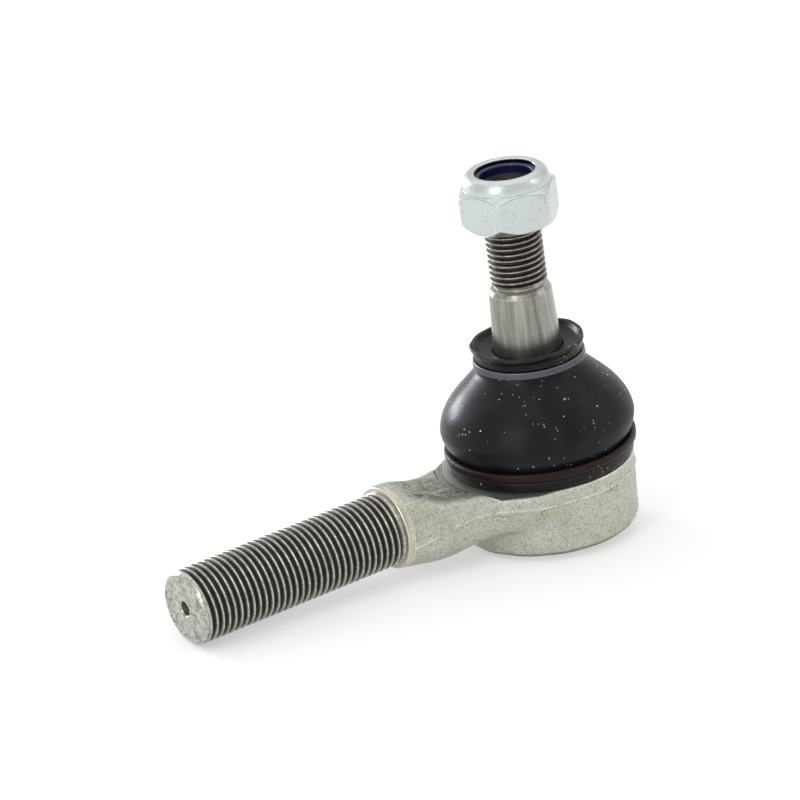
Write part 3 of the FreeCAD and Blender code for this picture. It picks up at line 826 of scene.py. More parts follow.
@dataclass(frozen=True)
class CutThread(Finish):
    """A cut thread: bright crests, grooves darkened with painted shade by their depth, and fine tool lines."""

    # The painted shade in the grooves.
    groove_shade: Colour = (0.05, 0.048, 0.045)
    groove_share: float = 0.85
    groove_reach: float = 0.45
    end: Colour = (0.52, 0.535, 0.455)
    along_x: float = 0.0

    def dress(self, coat: Coat) -> None:
        """Paint shade into the grooves by their depth, and add tool lines and grain.

        Args:
            coat: The material's nodes.
        """
        depth, lines = coat.attribute("groove_shade"), coat.lines(7000.0, self.along_x)
        grain = coat.grain(2200.0, 90.0)["Grain"]
        mottled = coat.mix(coat.remap(grain, 0.62, 0.3, 0.0, 0.6), self.colour, shade(self.colour, 0.4))
        plated = coat.mix(coat.remap(grain, 0.62, 0.30), self.end, shade(self.end, 0.6))
        plated = coat.layer(plated, coat.scratches(170.0, 0.025, 0.50), 0.8, shade(self.end, 0.35))
        colour = coat.mix(coat.attribute("end face"), mottled, plated)
        # Painted shade in the grooves, and in the shank's centre hole and the stud's dimple, where the attribute is
        # set to 1.
        colour = coat.layer(colour, coat.remap(depth, 0.03, self.groove_reach), self.groove_share, self.groove_shade)
        rough = coat.plus(self.rough(coat, lines, (0.3, 0.7), (-0.08, 0.1)), coat.times(depth, 0.2))
        coat.surface(colour, rough, lines, 0.2, 0.02)


@dataclass(frozen=True)
class TurnedSteel(Finish):
    """Turned or ground steel: fine tool lines round the piece, light cloudiness and rubbed edges."""

    line_scale: float = 9000.0
    along_x: float = 0.0
    line_depth: float = 0.015
    edge: Colour = (0.9, 0.9, 0.88)

    def dress(self, coat: Coat) -> None:
        """Add tool lines, clouds and edges to the colour, roughness and relief.

        Args:
            coat: The material's nodes.
        """
        lines, wear_and_shade = coat.lines(self.line_scale, self.along_x), coat.wear_and_shade(2.0, 0.4)
        clouds = coat.grain(1600.0, 110.0, 0.7)["Clouds"]
        colour = coat.mix(coat.remap(lines, 0.35, 0.7, 0.0, 0.35), self.colour, shade(self.colour, 0.55))
        colour = coat.mix(coat.remap(clouds, 0.4, 0.7, 0.0, 0.3), colour, shade(self.colour, 0.6))
        colour = coat.layer(colour, wear_and_shade["Edges"], 0.7, self.edge)
        coat.surface(colour, self.rough(coat, lines, (0.3, 0.7), (-0.06, 0.1)), lines, 0.25, self.line_depth)


@dataclass(frozen=True)
class GroundTaper(Finish):
    """A ground taper: long light and dark streaks up it as painted reflections, faint tool lines round it and
    rubbed edges.
    """

    # The light streaks' colour: painted reflection.
    pale: Colour = (0.45, 0.44, 0.395)
    edge: Colour = (0.88, 0.88, 0.85)

    def dress(self, coat: Coat) -> None:
        """Add painted reflection streaks, tool lines and edges to the colour, roughness and relief.

        Args:
            coat: The material's nodes.
        """
        broad, fine = (coat.effect(coat.effects.streaks, Streak_Scale=scale, Squeeze=squeeze)["Streaks"]
                       for scale, squeeze in ((240.0, 0.06), (1500.0, 0.03)))
        both = coat.plus(coat.times(broad, 0.65), coat.times(fine, 0.35))
        # Painted reflection: light and dark streaks up the taper.
        colour = coat.mix(coat.remap(both, 0.40, 0.60), self.colour, self.pale)
        colour = coat.mix(coat.remap(coat.lines(5000.0), 0.4, 0.7, 0.0, 0.16), colour, shade(self.colour, 0.5))
        colour = coat.layer(colour, coat.wear_and_shade(2.0, 0.4)["Edges"], 0.7, self.edge)
        coat.surface(colour, self.rough(coat, both, (0.4, 0.6), (0.08, -0.04)), fine, 0.2, 0.015)


@dataclass(frozen=True)
class BootRubber(Finish):
    """Moulded rubber: matt black with white dust specks, a faint bloom and fine relief."""

    dust: Colour = (0.62, 0.62, 0.60)
    bloom: Colour = (0.030, 0.031, 0.033)
    specular: float = 0.17

    def dress(self, coat: Coat) -> None:
        """Add specks, bloom and relief.

        Args:
            coat: The material's nodes.
        """
        coat.shader["Specular IOR Level"].default_value = self.specular
        specks, small = coat.dust(420.0, 0.11, 0.11), coat.dust(1100.0, 0.26, 0.17)
        grain = coat.grain(1700.0, 60.0)
        colour = coat.layer(self.colour, specks["Film"], 0.35, self.bloom)
        colour = coat.layer(colour, coat.wear_and_shade(1.4, 0.8)["Edges"], 0.55, self.bloom)
        colour = coat.mix(coat.maths("MAXIMUM", specks["Specks"], small["Specks"]), colour, self.dust)
        rough = self.rough(coat, grain["Clouds"], (0.35, 0.7), (-0.06, 0.12))
        coat.surface(colour, rough, grain["Height"], 0.22, 0.06)


@dataclass(frozen=True)
class PaintedBand(Finish):
    """A thin coated band: a slightly uneven coat, worn lighter along its edges."""

    worn: Colour = (0.20, 0.12, 0.09)
    dust: Colour = (0.5, 0.5, 0.48)
    specular: float = 0.2

    def dress(self, coat: Coat) -> None:
        """Add unevenness, dust and worn edges.

        Args:
            coat: The material's nodes.
        """
        coat.shader["Specular IOR Level"].default_value = self.specular
        grain = coat.grain(1500.0, 180.0, 0.8)
        colour = coat.mix(coat.remap(grain["Clouds"], 0.35, 0.7, 0.0, 0.5), self.colour, shade(self.colour, 0.5))
        colour = coat.layer(colour, coat.wear_and_shade(1.6, 0.7)["Edges"], 0.6, self.worn)
        colour = coat.mix(coat.dust(700.0, 0.05, 0.10)["Specks"], colour, self.dust)
        rough = self.rough(coat, grain["Grain"], (0.3, 0.7), (-0.06, 0.1))
        coat.surface(colour, rough, grain["Height"], 0.12, 0.04)


@dataclass(frozen=True)
class BrightZinc(Finish):
    """Bright zinc plate: glossy, faintly green and blue in patches, with fine pitting, edges darkened as painted
    reflection, painted shade in corners and painted shadow inside.
    """

    tint: Colour = (0.62, 0.72, 0.70)
    # Darker than the plate: painted dark reflection along the edges.
    edge: Colour = (0.34, 0.37, 0.34)
    # Painted shade in corners.
    corner: Colour = (0.12, 0.14, 0.15)
    # Painted shadow inside the nut's opening.
    deep: Colour = (0.015, 0.015, 0.018)

    def dress(self, coat: Coat) -> None:
        """Add tint, pitting, edges darkened as painted reflection, painted shade in corners and painted shadow
        inside.

        Args:
            coat: The material's nodes.
        """
        grain, wear_and_shade = coat.grain(1900.0, 150.0, 0.7), coat.wear_and_shade(2.2, 0.5)
        colour = coat.mix(coat.remap(grain["Clouds"], 0.4, 0.65, 0.0, 0.35), self.colour, self.tint)
        colour = coat.mix(coat.remap(grain["Grain"], 0.42, 0.2, 0.0, 0.3), colour, shade(self.colour, 0.5))
        # Painted reflection darkens the edges, painted shade the corners and painted shadow the inside.
        colour = coat.layer(colour, wear_and_shade["Edges"], 0.55, self.edge)
        colour = coat.layer(colour, wear_and_shade["Corners"], 0.5, self.corner)
        colour = coat.mix(coat.attribute("inside"), colour, self.deep)
        rough = self.rough(coat, grain["Grain"], (0.25, 0.75), (0.08, -0.02))
        coat.surface(colour, rough, grain["Height"], 0.06, 0.03)


@dataclass(frozen=True)
class MouldedPlastic(Finish):
    """Moulded plastic: a light mottle, fine relief and paler rubbed edges."""

    edge: Colour = (0.2, 0.2, 0.4)

    def dress(self, coat: Coat) -> None:
        """Add mottle and edges.

        Args:
            coat: The material's nodes.
        """
        grain = coat.grain(1400.0, 200.0, 0.6)
        colour = coat.mix(coat.remap(grain["Clouds"], 0.4, 0.7, 0.0, 0.4), self.colour, shade(self.colour, 0.6))
        colour = coat.layer(colour, coat.wear_and_shade(1.8, 0.5)["Edges"], 0.7, self.edge)
        rough = self.rough(coat, grain["Grain"], (0.3, 0.7), (-0.05, 0.08))
        coat.surface(colour, rough, grain["Height"], 0.15, 0.03)


class Slot(Enum):
    """The record's material slots."""

    FORGING = "zinc_forging"
    STUD = "turned_steel"
    SEAT = "acetal"
    SPRING = "spring_steel"
    CAP = "zinc_plate"
    BOOT = "boot_rubber"
    LOWER_RING = "brown_band"
    UPPER_RING = "grey_band"
    NUT = "nut_zinc"
    INSERT = "blue_nylon"


def settle(obj: bpy.types.Object, material: bpy.types.Material, body: Body | None,
           stands_for: str) -> None:
    """Dress a finished piece, set it on its body and let it stand for its CAD node.

    Args:
        obj: The piece.
        material: Its material.
        body: The body it rides on, or None to leave it on no body.
        stands_for: The CAD node that it stands for.
    """
    obj.data.materials.clear()
    obj.data.materials.append(material)
    if body is not None:
        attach(obj, body.value)
    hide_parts(stands_for)
    LOG.info("%s: %d faces, %s", obj.name, len(obj.data.polygons), material.name)


# ---------------------------------------------------------------------------------------------------------
# Geometry Nodes: the cut thread
# ---------------------------------------------------------------------------------------------------------

class ThreadCutter:
    """A Geometry Nodes tree that cuts a right-handed thread into a turned blank standing on the Z axis."""

    LENGTHS = ("Radius", "Pitch", "Depth", "Start", "End", "Run Out")
    ROWS = 14  # how many rows of points a blank has in each pitch
    SHARP_DEPTH = 0.866  # a 60 degree thread's depth before its crests are cut, in pitches
    CREST_CUT = 0.108  # what is cut off each crest, in pitches
    CUT_DEPTH = 0.6134  # the finished depth, in pitches
    NONE_LEFT = 0.0001  # the share of the thread below which nothing is cut
    NEAR_AXIS = 1e-7  # the least radius that is divided by, in metres

    def __init__(self) -> None:
        """Build the tree."""
        self.tree = bpy.data.node_groups.new("cut thread", "GeometryNodeTree")
        face = self.tree.interface
        face.new_socket("Geometry", in_out="INPUT", socket_type="NodeSocketGeometry")
        for name in self.LENGTHS:
            face.new_socket(name, in_out="INPUT", socket_type="NodeSocketFloat")
        face.new_socket("Material", in_out="INPUT", socket_type="NodeSocketMaterial")
        face.new_socket("Geometry", in_out="OUTPUT", socket_type="NodeSocketGeometry")
        self.build(Graph(self.tree))

    def build(self, graph: Graph) -> None:
        """Add the nodes.

        Args:
            graph: The tree's graph.
        """
        given = graph.add("NodeGroupInput").outputs
        xyz = graph.split(graph.add("GeometryNodeInputPosition").outputs[0])
        radius = graph.length(graph.join(xyz[0], xyz[1]))
        turn = graph.over(graph.maths("ARCTAN2", xyz[1], xyz[0]), 2 * math.pi)
        phase = graph.maths("FRACT", graph.minus(graph.over(xyz[2], given["Pitch"]), turn))
        tent = graph.minus(1.0, graph.maths("ABSOLUTE", graph.minus(graph.times(phase, 2.0), 1.0)))
        flank = graph.times(graph.minus(graph.times(tent, self.SHARP_DEPTH), self.CREST_CUT), given["Pitch"])
        depth = graph.maths("MAXIMUM", 0.0, graph.maths("MINIMUM", flank, given["Depth"]))
        share = self.window(graph, xyz[2], given)
        cut = graph.minus(given["Radius"], graph.times(depth, share))
        past = graph.maths("MAXIMUM", 0.0, graph.minus(radius, cut))
        taken = graph.times(past, graph.maths("GREATER_THAN", share, self.NONE_LEFT))
        scale = graph.over(graph.minus(radius, taken), graph.maths("MAXIMUM", radius, self.NEAR_AXIS))
        moved = graph.join(graph.times(xyz[0], scale), graph.times(xyz[1], scale), xyz[2])
        # Store each point's share of the cut's full depth, which the thread's material uses to paint shade in the
        # grooves.
        marked = graph.add("GeometryNodeStoreNamedAttribute", {"data_type": "FLOAT"}, Name="groove_shade",
                           Geometry=given["Geometry"], Value=graph.over(taken, given["Depth"]))
        cut_mesh = graph.add("GeometryNodeSetPosition", None, Geometry=marked.outputs[0], Position=moved)
        real = graph.add("GeometryNodeRealizeInstances", None, Geometry=cut_mesh.outputs[0])
        dressed = graph.add("GeometryNodeSetMaterial", None, Geometry=real.outputs[0], Material=given["Material"])
        graph.add("NodeGroupOutput", None, Geometry=dressed.outputs[0])

    def window(self, graph: Graph, height: bpy.types.NodeSocket,
               given: bpy.types.NodeOutputs) -> bpy.types.NodeSocket:
        """How much of the thread there is at each height: 1 between its ends, fading over the run-out.

        Args:
            graph: The tree's graph.
            height: The height of the point.
            given: The tree's inputs.

        Returns:
            The share, from 0 to 1.
        """
        run_out = given["Run Out"]
        rising = graph.over(graph.minus(height, graph.minus(given["Start"], run_out)), run_out, True)
        falling = graph.over(graph.minus(graph.plus(given["End"], run_out), height), run_out, True)
        return graph.times(rising, falling)

    def cut(self, blank: bpy.types.Object, material: bpy.types.Material, radius: float, pitch: float,
            start: float, end: float, run_out: float) -> None:
        """Cut a thread into a blank and leave it a plain mesh.

        Args:
            blank: The turned blank, standing on the Z axis.
            material: The thread's material.
            radius: The thread's outside radius, in millimetres like the other sizes.
            pitch: Its pitch.
            start: Where the full thread starts, along the axis.
            end: Where it ends.
            run_out: How long it fades for at each end.
        """
        values = dict(zip(self.LENGTHS, (radius, pitch, self.CUT_DEPTH * pitch, start, end, run_out)))
        cutter = blank.modifiers.new("cut thread", "NODES")
        cutter.node_group = self.tree
        for item in self.tree.interface.items_tree:
            if item.name in values:
                cutter[item.identifier] = values[item.name] * MM
            elif item.name == "Material":
                cutter[item.identifier] = material
        seen = blank.evaluated_get(bpy.context.evaluated_depsgraph_get())
        plain = bpy.data.meshes.new_from_object(seen)
        blank.modifiers.remove(cutter)
        old, blank.data = blank.data, plain
        bpy.data.meshes.remove(old)
        tidy_normals(blank, 75.0)


def lay_along_x(obj: bpy.types.Object) -> None:
    """Turn a piece made about the Z axis so that it lies along the X axis."""
    obj.data.transform(Matrix(((0, 0, 1, 0), (1, 0, 0, 0), (0, 1, 0, 0), (0, 0, 0, 1))))
    obj.data.update()


# ---------------------------------------------------------------------------------------------------------
# The sub-assemblies
# ---------------------------------------------------------------------------------------------------------

@dataclass
class Housing:
    """The forged and machined housing: threaded shank, collar, neck and socket."""

    tip_x: float = -90.6
    shoulder_x: float = -41.1
    collar_x: float = -39.9
    thread_r: float = 8.0
    pitch: float = 1.5
    chamfer: float = 0.8
    collar_r: float = 9.1
    hole_r: float = 1.8
    hole_depth: float = 3.0
    socket_r: float = 19.4
    socket_low_r: float = 18.8
    socket_bottom: float = -13.3
    rim_z: float = 2.0
    corner_round: float = 1.8
    spot_face_r: float = 23.0
    spigot_r: float = 16.5
    spigot_top: float = 8.4
    bore_r: float = 13.0
    lip_r: float = 13.3
    joint_r: float = 17.0
    ridge: float = 0.24
    step: float = 0.27
    # How much of the hollow's painted shade the far side gets.
    far_side_shade: float = 0.45
    # How strong the painted shade towards the neck's underside is.
    underside_shade: float = 0.28
    stations: tuple[tuple[float, ...], ...] = (
        # x, half width, top, bottom, corner round, hollow, parting line height, underside half width
        (-44.0, 9.1, 9.0, 9.0, 8.9, 0.0, -2.8, 9.1),
        (-39.9, 9.1, 8.8, 8.9, 8.6, 0.0, -2.6, 9.1),
        (-37.5, 9.2, 8.1, 8.8, 7.0, 0.2, -2.3, 9.0),
        (-34.8, 9.3, 7.0, 8.7, 5.0, 0.7, -1.8, 8.9),
        (-29.3, 9.5, 4.8, 8.5, 3.2, 1.1, -1.0, 8.8),
        (-25.0, 10.3, 3.8, 7.8, 2.5, 1.0, -0.5, 8.9),
        (-22.0, 11.4, 3.4, 7.3, 2.3, 0.8, -0.3, 9.4),
        (-19.0, 13.1, 2.55, 7.0, 1.4, 0.3, -0.5, 10.2),
        (-16.0, 15.0, 2.15, 7.0, 1.1, 0.1, -0.8, 11.4),
        (-13.9, 16.4, 2.0, 7.0, 1.0, 0.0, -0.9, 12.6),
        (-9.0, 17.7, 1.9, 7.0, 1.0, 0.0, -1.0, 15.0),
        (-3.0, 18.4, 1.9, 7.0, 1.0, 0.0, -1.1, 16.0),
    )

    def at(self, x: np.ndarray, column: int) -> np.ndarray:
        """One of the neck's sizes at places along it, on a smooth curve through its stations.

        Args:
            x: The places.
            column: Which size, by its place in a station.

        Returns:
            The sizes.
        """
        table = np.array(self.stations)
        known, wanted = table[:, 0], table[:, column]
        slope = np.gradient(wanted, known)
        x = np.clip(x, known[0], known[-1])
        k = np.clip(np.searchsorted(known, x) - 1, 0, len(known) - 2)
        span = known[k + 1] - known[k]
        w = (x - known[k]) / span
        return ((2 * w ** 3 - 3 * w ** 2 + 1) * wanted[k] + (w ** 3 - 2 * w ** 2 + w) * span * slope[k]
                + (3 * w ** 2 - 2 * w ** 3) * wanted[k + 1] + (w ** 3 - w ** 2) * span * slope[k + 1])

    def hollow_depth(self, p: np.ndarray) -> np.ndarray:
        """How deep the hollow in the neck's top is over each point."""
        side = ramp(np.abs(p[:, 1]), 0, 0.72 * self.at(p[:, 0], 1))
        return self.at(p[:, 0], 5) * (1 - side ** 2) ** 2

    def neck_distance(self, p: np.ndarray) -> np.ndarray:
        """How far outside the neck each point is.

        Args:
            p: The points, one row each.

        Returns:
            The distances, negative inside.
        """
        x, y, z = p.T
        half, top, bottom, corner, line, under = (self.at(x, k) for k in (1, 2, 3, 4, 6, 7))
        below = np.clip((line - z) / np.maximum(bottom + line, 1), 0, 1)
        half = half + (under - half) * below ** 1.3
        middle, reach = (top - bottom) / 2, (top + bottom) / 2
        corner = np.minimum(corner, np.minimum(half, reach) - 0.05)
        high = ramp(z, middle, middle + reach)
        raised = z + self.hollow_depth(p) * high * high * (3 - 2 * high)
        across, up = np.abs(y) - half + corner, np.abs(raised - middle) - reach + corner
        out = np.hypot(np.maximum(across, 0), np.maximum(up, 0)) + np.minimum(np.maximum(across, up), 0) - corner
        return np.maximum(out, x + 4.0)

    def socket_distance(self, p: np.ndarray) -> np.ndarray:
        """How far outside the socket's blank each point is.

        Args:
            p: The points, one row each.

        Returns:
            The distances, negative inside.
        """
        x, y, z = p.T
        share = ramp(z, self.socket_bottom, self.rim_z)
        side = np.hypot(x, y) - (self.socket_low_r + (self.socket_r - self.socket_low_r) * share)
        below = self.socket_bottom - z
        corner = self.corner_round
        low = (np.hypot(np.maximum(side + corner, 0), np.maximum(below + corner, 0))
               + np.minimum(np.maximum(side, below) + corner, 0) - corner)
        return soft_max(low, z - self.rim_z, 0.55)

    def distance(self, p: np.ndarray) -> np.ndarray:
        """How far outside the forging each point is.

        Args:
            p: The points, one row each.

        Returns:
            The distances, negative inside.
        """
        x, y, z = p.T
        r = np.hypot(x, y)
        out = soft_min(self.neck_distance(p), self.socket_distance(p), 1.6)
        line = (z - self.at(x, 6)) / 0.42
        out = out - self.ridge * np.exp(-line * line) * (r > 18.0)
        out = out - 0.05 * (np.sin(0.55 * x + 1.1) * np.sin(0.62 * y + 0.4) + np.sin(0.9 * y + 0.8 * z + 2.0) / 2)
        wall = r - self.spot_face_r - 0.3 * (z - self.rim_z)
        out = soft_max(out, -np.maximum(self.rim_z - z, wall), 0.4)
        out = np.maximum(out, self.socket_bottom + 0.02 - z)
        out = np.maximum(out, self.joint_r - 0.15 - r)
        return np.maximum(out, self.collar_x + 0.02 - x)

    def forging(self) -> bpy.types.Object:
        """Mesh the forging from its distance function.

        Returns:
            The piece, with its hollow and turn attributes.
        """
        low = (self.collar_x - 0.6, -20.2, self.socket_bottom - 0.6)
        high = (20.2, 20.2, 11.0)
        verts, faces = surface_of(self.distance, low, high, self.step)
        obj = make_object("housing_forging", verts, faces, 40.0)
        tidy_normals(obj, 40.0)
        x, y, z = places(obj).T
        r, share = np.hypot(x, y), np.abs(y) / self.at(x, 1)
        # The hollow attribute: where painted shade falls in the neck's top hollow, full on the near side and weaker
        # on the far side.
        band = ramp(share, -0.1, 0.15) * ramp(share, 0.76, 0.62) * ramp(x, self.collar_x + 2.0, self.collar_x + 5.0)
        band *= ramp(r, self.spot_face_r - 0.6, self.spot_face_r + 0.6) * ramp(z, 1.0, 2.5)
        add_attribute(obj, "hollow", band * np.where(y < 0, 1.0, self.far_side_shade))
        flat = (r > self.socket_r - 0.4) & (r < self.spot_face_r + 0.1) & (np.abs(z - self.rim_z) < 0.25)
        add_attribute(obj, "faced", flat * 1.0)
        # The low attribute: a painted dark reflection along the socket's bottom edge, and painted shade darkening
        # the neck towards its underside.
        edge = ramp(z, self.socket_bottom + 1.3, self.socket_bottom + 0.7) * (r > self.socket_low_r - 1.4)
        low_shade = self.underside_shade * ramp(z, -3.5, -8.5) * ramp(x, -13.0, -22.0)
        add_attribute(obj, "low", np.maximum(edge, low_shade))
        mark_turns(obj, 3)
        return obj

    def socket_bore(self) -> bpy.types.Object:
        """Turn the machined middle of the socket: its lower face, closing lip, bore and spigot.

        Returns:
            The piece.
        """
        low, rim = self.socket_bottom, self.rim_z
        profile = rounded([
            (self.joint_r, low), (self.joint_r, rim), (self.spigot_r, rim), (self.spigot_r, 4.5),
            (self.spigot_r - 0.8, 4.9), (self.spigot_r - 0.8, 6.05), (self.spigot_r, 6.45),
            (self.spigot_r, self.spigot_top), (12.1, self.spigot_top), (11.1, self.spigot_top - 1.0),
            (11.1, self.spigot_top - 1.6), (12.0, 4.9), (12.6, 3.2), (12.9, 1.6), (self.bore_r, 0.0),
            (self.bore_r, -11.4), (14.55, -11.4), (14.55, low + 0.55), (self.lip_r, low + 0.55),
            (self.lip_r, low)], [0, 0, 0, .1, .1, .1, .1, .3, .3, .1, .1, 0, 0, 0, 0, .1, .1, .1, .15, 0], 3)
        obj = ring("socket_bore", profile, 0.5, 192)
        add_attribute(obj, "hollow", np.zeros(len(obj.data.vertices)))
        mark_turns(obj)
        return obj

    def shank_thread(self, cutter: ThreadCutter, material: bpy.types.Material) -> bpy.types.Object:
        """Turn the shank, with its centre hole, and cut its thread.

        Args:
            cutter: The thread cutter.
            material: The thread's material.

        Returns:
            The piece.
        """
        tip = self.tip_x
        profile = spaced(rounded([
            (0, tip + self.hole_depth + 0.45), (self.hole_r / 2, tip + self.hole_depth),
            (self.hole_r / 2, tip + 1.08), (self.hole_r, tip), (self.thread_r - self.chamfer, tip),
            (self.thread_r, tip + self.chamfer)], [0, .1, .15, .12, .2, 0], 3), 0.3)
        rows = int((self.shoulder_x - tip - self.chamfer) / (self.pitch / ThreadCutter.ROWS))
        run_on(profile, (self.thread_r, self.shoulder_x), rows)
        obj = lathe("shank_thread", profile + [(0, self.shoulder_x)], 128, smooth_angle=75.0)
        cutter.cut(obj, material, self.thread_r, self.pitch, tip + 1.8, self.shoulder_x - 1.4, 1.2)
        x, y, z = places(obj).T
        r = np.hypot(x, y)
        in_hole = r < self.hole_r * 0.85
        add_attribute(obj, "end face", (z < tip + 0.4) & ~in_hole)
        # The centre hole takes the grooves' full painted shade.
        set_attribute(obj, "groove_shade", in_hole & (z < tip + self.hole_depth + 1), 1.0)
        lay_along_x(obj)
        mark_turns(obj, 1)
        return obj

    def shank_collar(self) -> bpy.types.Object:
        """Turn the beaded collar between the thread and the forging.

        Returns:
            The piece.
        """
        profile = spaced(rounded([
            (0, self.shoulder_x - 0.1), (self.thread_r - 0.1, self.shoulder_x - 0.1),
            (self.collar_r - 0.25, self.shoulder_x + 0.1), (self.collar_r, self.collar_x - 0.1),
            (self.collar_r - 0.2, self.collar_x + 0.03), (0, self.collar_x + 0.03)],
            [0, .05, .5, .12, .05, 0], 5), 0.25)
        obj = lathe("shank_collar", profile, 128)
        lay_along_x(obj)
        mark_turns(obj)
        return obj

    def build(self, cutter: ThreadCutter, effects: EffectRack) -> None:
        """Make and dress the housing's pieces.

        Args:
            cutter: The thread cutter.
            effects: The shared shader groups.
        """
        forged = ForgedZinc("forged_zinc", (0.575, 0.585, 0.50), 0.42, 0.9).material(effects)
        faced = TurnedSteel("machined_zinc", (0.66, 0.67, 0.61), 0.34, 0.9).material(effects)
        collar = TurnedSteel("machined_collar", (0.56, 0.54, 0.43), 0.30, 0.95, along_x=1.0).material(effects)
        # Its dark colour is the painted shade in the grooves and the centre hole.
        thread = CutThread("shank_thread_steel", (0.56, 0.555, 0.485), 0.32, 0.95, groove_shade=(0.022, 0.022, 0.018),
                           groove_share=0.90, groove_reach=0.50, along_x=1.0).material(effects)
        settle(self.forging(), forged, Body.HOUSING, "housing")
        settle(self.socket_bore(), faced, Body.HOUSING, "housing")
        settle(self.shank_thread(cutter, thread), thread, Body.HOUSING, "housing")
        settle(self.shank_collar(), collar, Body.HOUSING, "housing")


@dataclass
class BallStud:
    """The ball stud: flattened ball, neck and taper in one piece, and the fine thread above it."""

    ball_r: float = 11.0
    flat_z: float = -9.0
    neck_r: float = 5.9
    neck_top: float = 17.0
    taper_start: float = 21.5
    taper_end: float = 39.9
    small_r: float = 6.6
    thread_r: float = 6.0
    thread_start: float = 42.24
    pitch: float = 1.25
    top: float = 61.0
    chamfer: float = 0.9
    root_r: float = 5.23
    dimple: float = 0.9

    def shaft(self) -> bpy.types.Object:
        """Turn the ball, the neck, the taper and the undercut above it.

        Returns:
            The piece.
        """
        big_r = self.small_r + (self.taper_end - self.taper_start) / 20
        start = math.asin(self.flat_z / self.ball_r)
        finish = math.acos(self.neck_r / self.ball_r)
        ball = [(self.ball_r * math.cos(start + (finish - start) * k / 60),
                 self.ball_r * math.sin(start + (finish - start) * k / 60)) for k in range(61)]
        above = rounded([
            ball[-1], (self.neck_r, self.neck_top), (big_r, self.taper_start), (self.small_r, self.taper_end),
            (self.thread_r + 0.1, self.taper_end + 0.9), (self.root_r, self.taper_end + 1.44),
            (self.root_r, self.thread_start - 0.45), (0, self.thread_start - 0.45)],
            [0, 3, .8, .2, .1, .2, 0, 0], 4)
        obj = lathe("ball_and_taper", spaced([(0, self.flat_z)] + ball + above[1:], 0.5), 160)
        mark_turns(obj)
        return obj

    def thread(self, cutter: ThreadCutter, material: bpy.types.Material) -> bpy.types.Object:
        """Turn the stud's threaded end and cut its thread.

        Args:
            cutter: The thread cutter.
            material: The thread's material.

        Returns:
            The piece.
        """
        low = self.thread_start - 0.6
        rows = int((self.top - self.chamfer - self.thread_start) / (self.pitch / ThreadCutter.ROWS))
        profile = [(0, low), (self.root_r, low), (self.thread_r - 0.3, low + 0.3),
                   (self.thread_r, self.thread_start)]
        run_on(profile, (self.thread_r, self.top - self.chamfer), rows)
        tip = rounded([profile[-1], (self.thread_r - self.chamfer, self.top), (1.2, self.top),
                       (0, self.top - self.dimple)], [0, .2, .1, 0], 3)
        obj = lathe("stud_thread", profile + spaced(tip, 0.3)[1:], 112, smooth_angle=75.0)
        cutter.cut(obj, material, self.thread_r, self.pitch, self.thread_start + 0.4, self.top + 1, 0.6)
        # The dimple in the stud's end takes the grooves' full painted shadow.
        set_attribute(obj, "groove_shade", places(obj)[:, 2] > self.top - self.dimple - 0.05, 1.0)
        mark_turns(obj, 1)
        return obj

    def build(self, cutter: ThreadCutter, effects: EffectRack) -> None:
        """Make and dress the stud's pieces.

        Args:
            cutter: The thread cutter.
            effects: The shared shader groups.
        """
        ground = GroundTaper("ground_taper", (0.20, 0.192, 0.17), 0.34, 1.0).material(effects)
        # Its dark colour is the painted shade in the grooves and the end's dimple.
        thread = CutThread("stud_thread_steel", (0.46, 0.43, 0.38), 0.30, 1.0, groove_shade=(0.025, 0.022, 0.018),
                           groove_share=0.9, groove_reach=0.6).material(effects)
        settle(self.shaft(), ground, Body.STUD, "ball_stud")
        settle(self.thread(cutter, thread), thread, Body.STUD, "ball_stud")


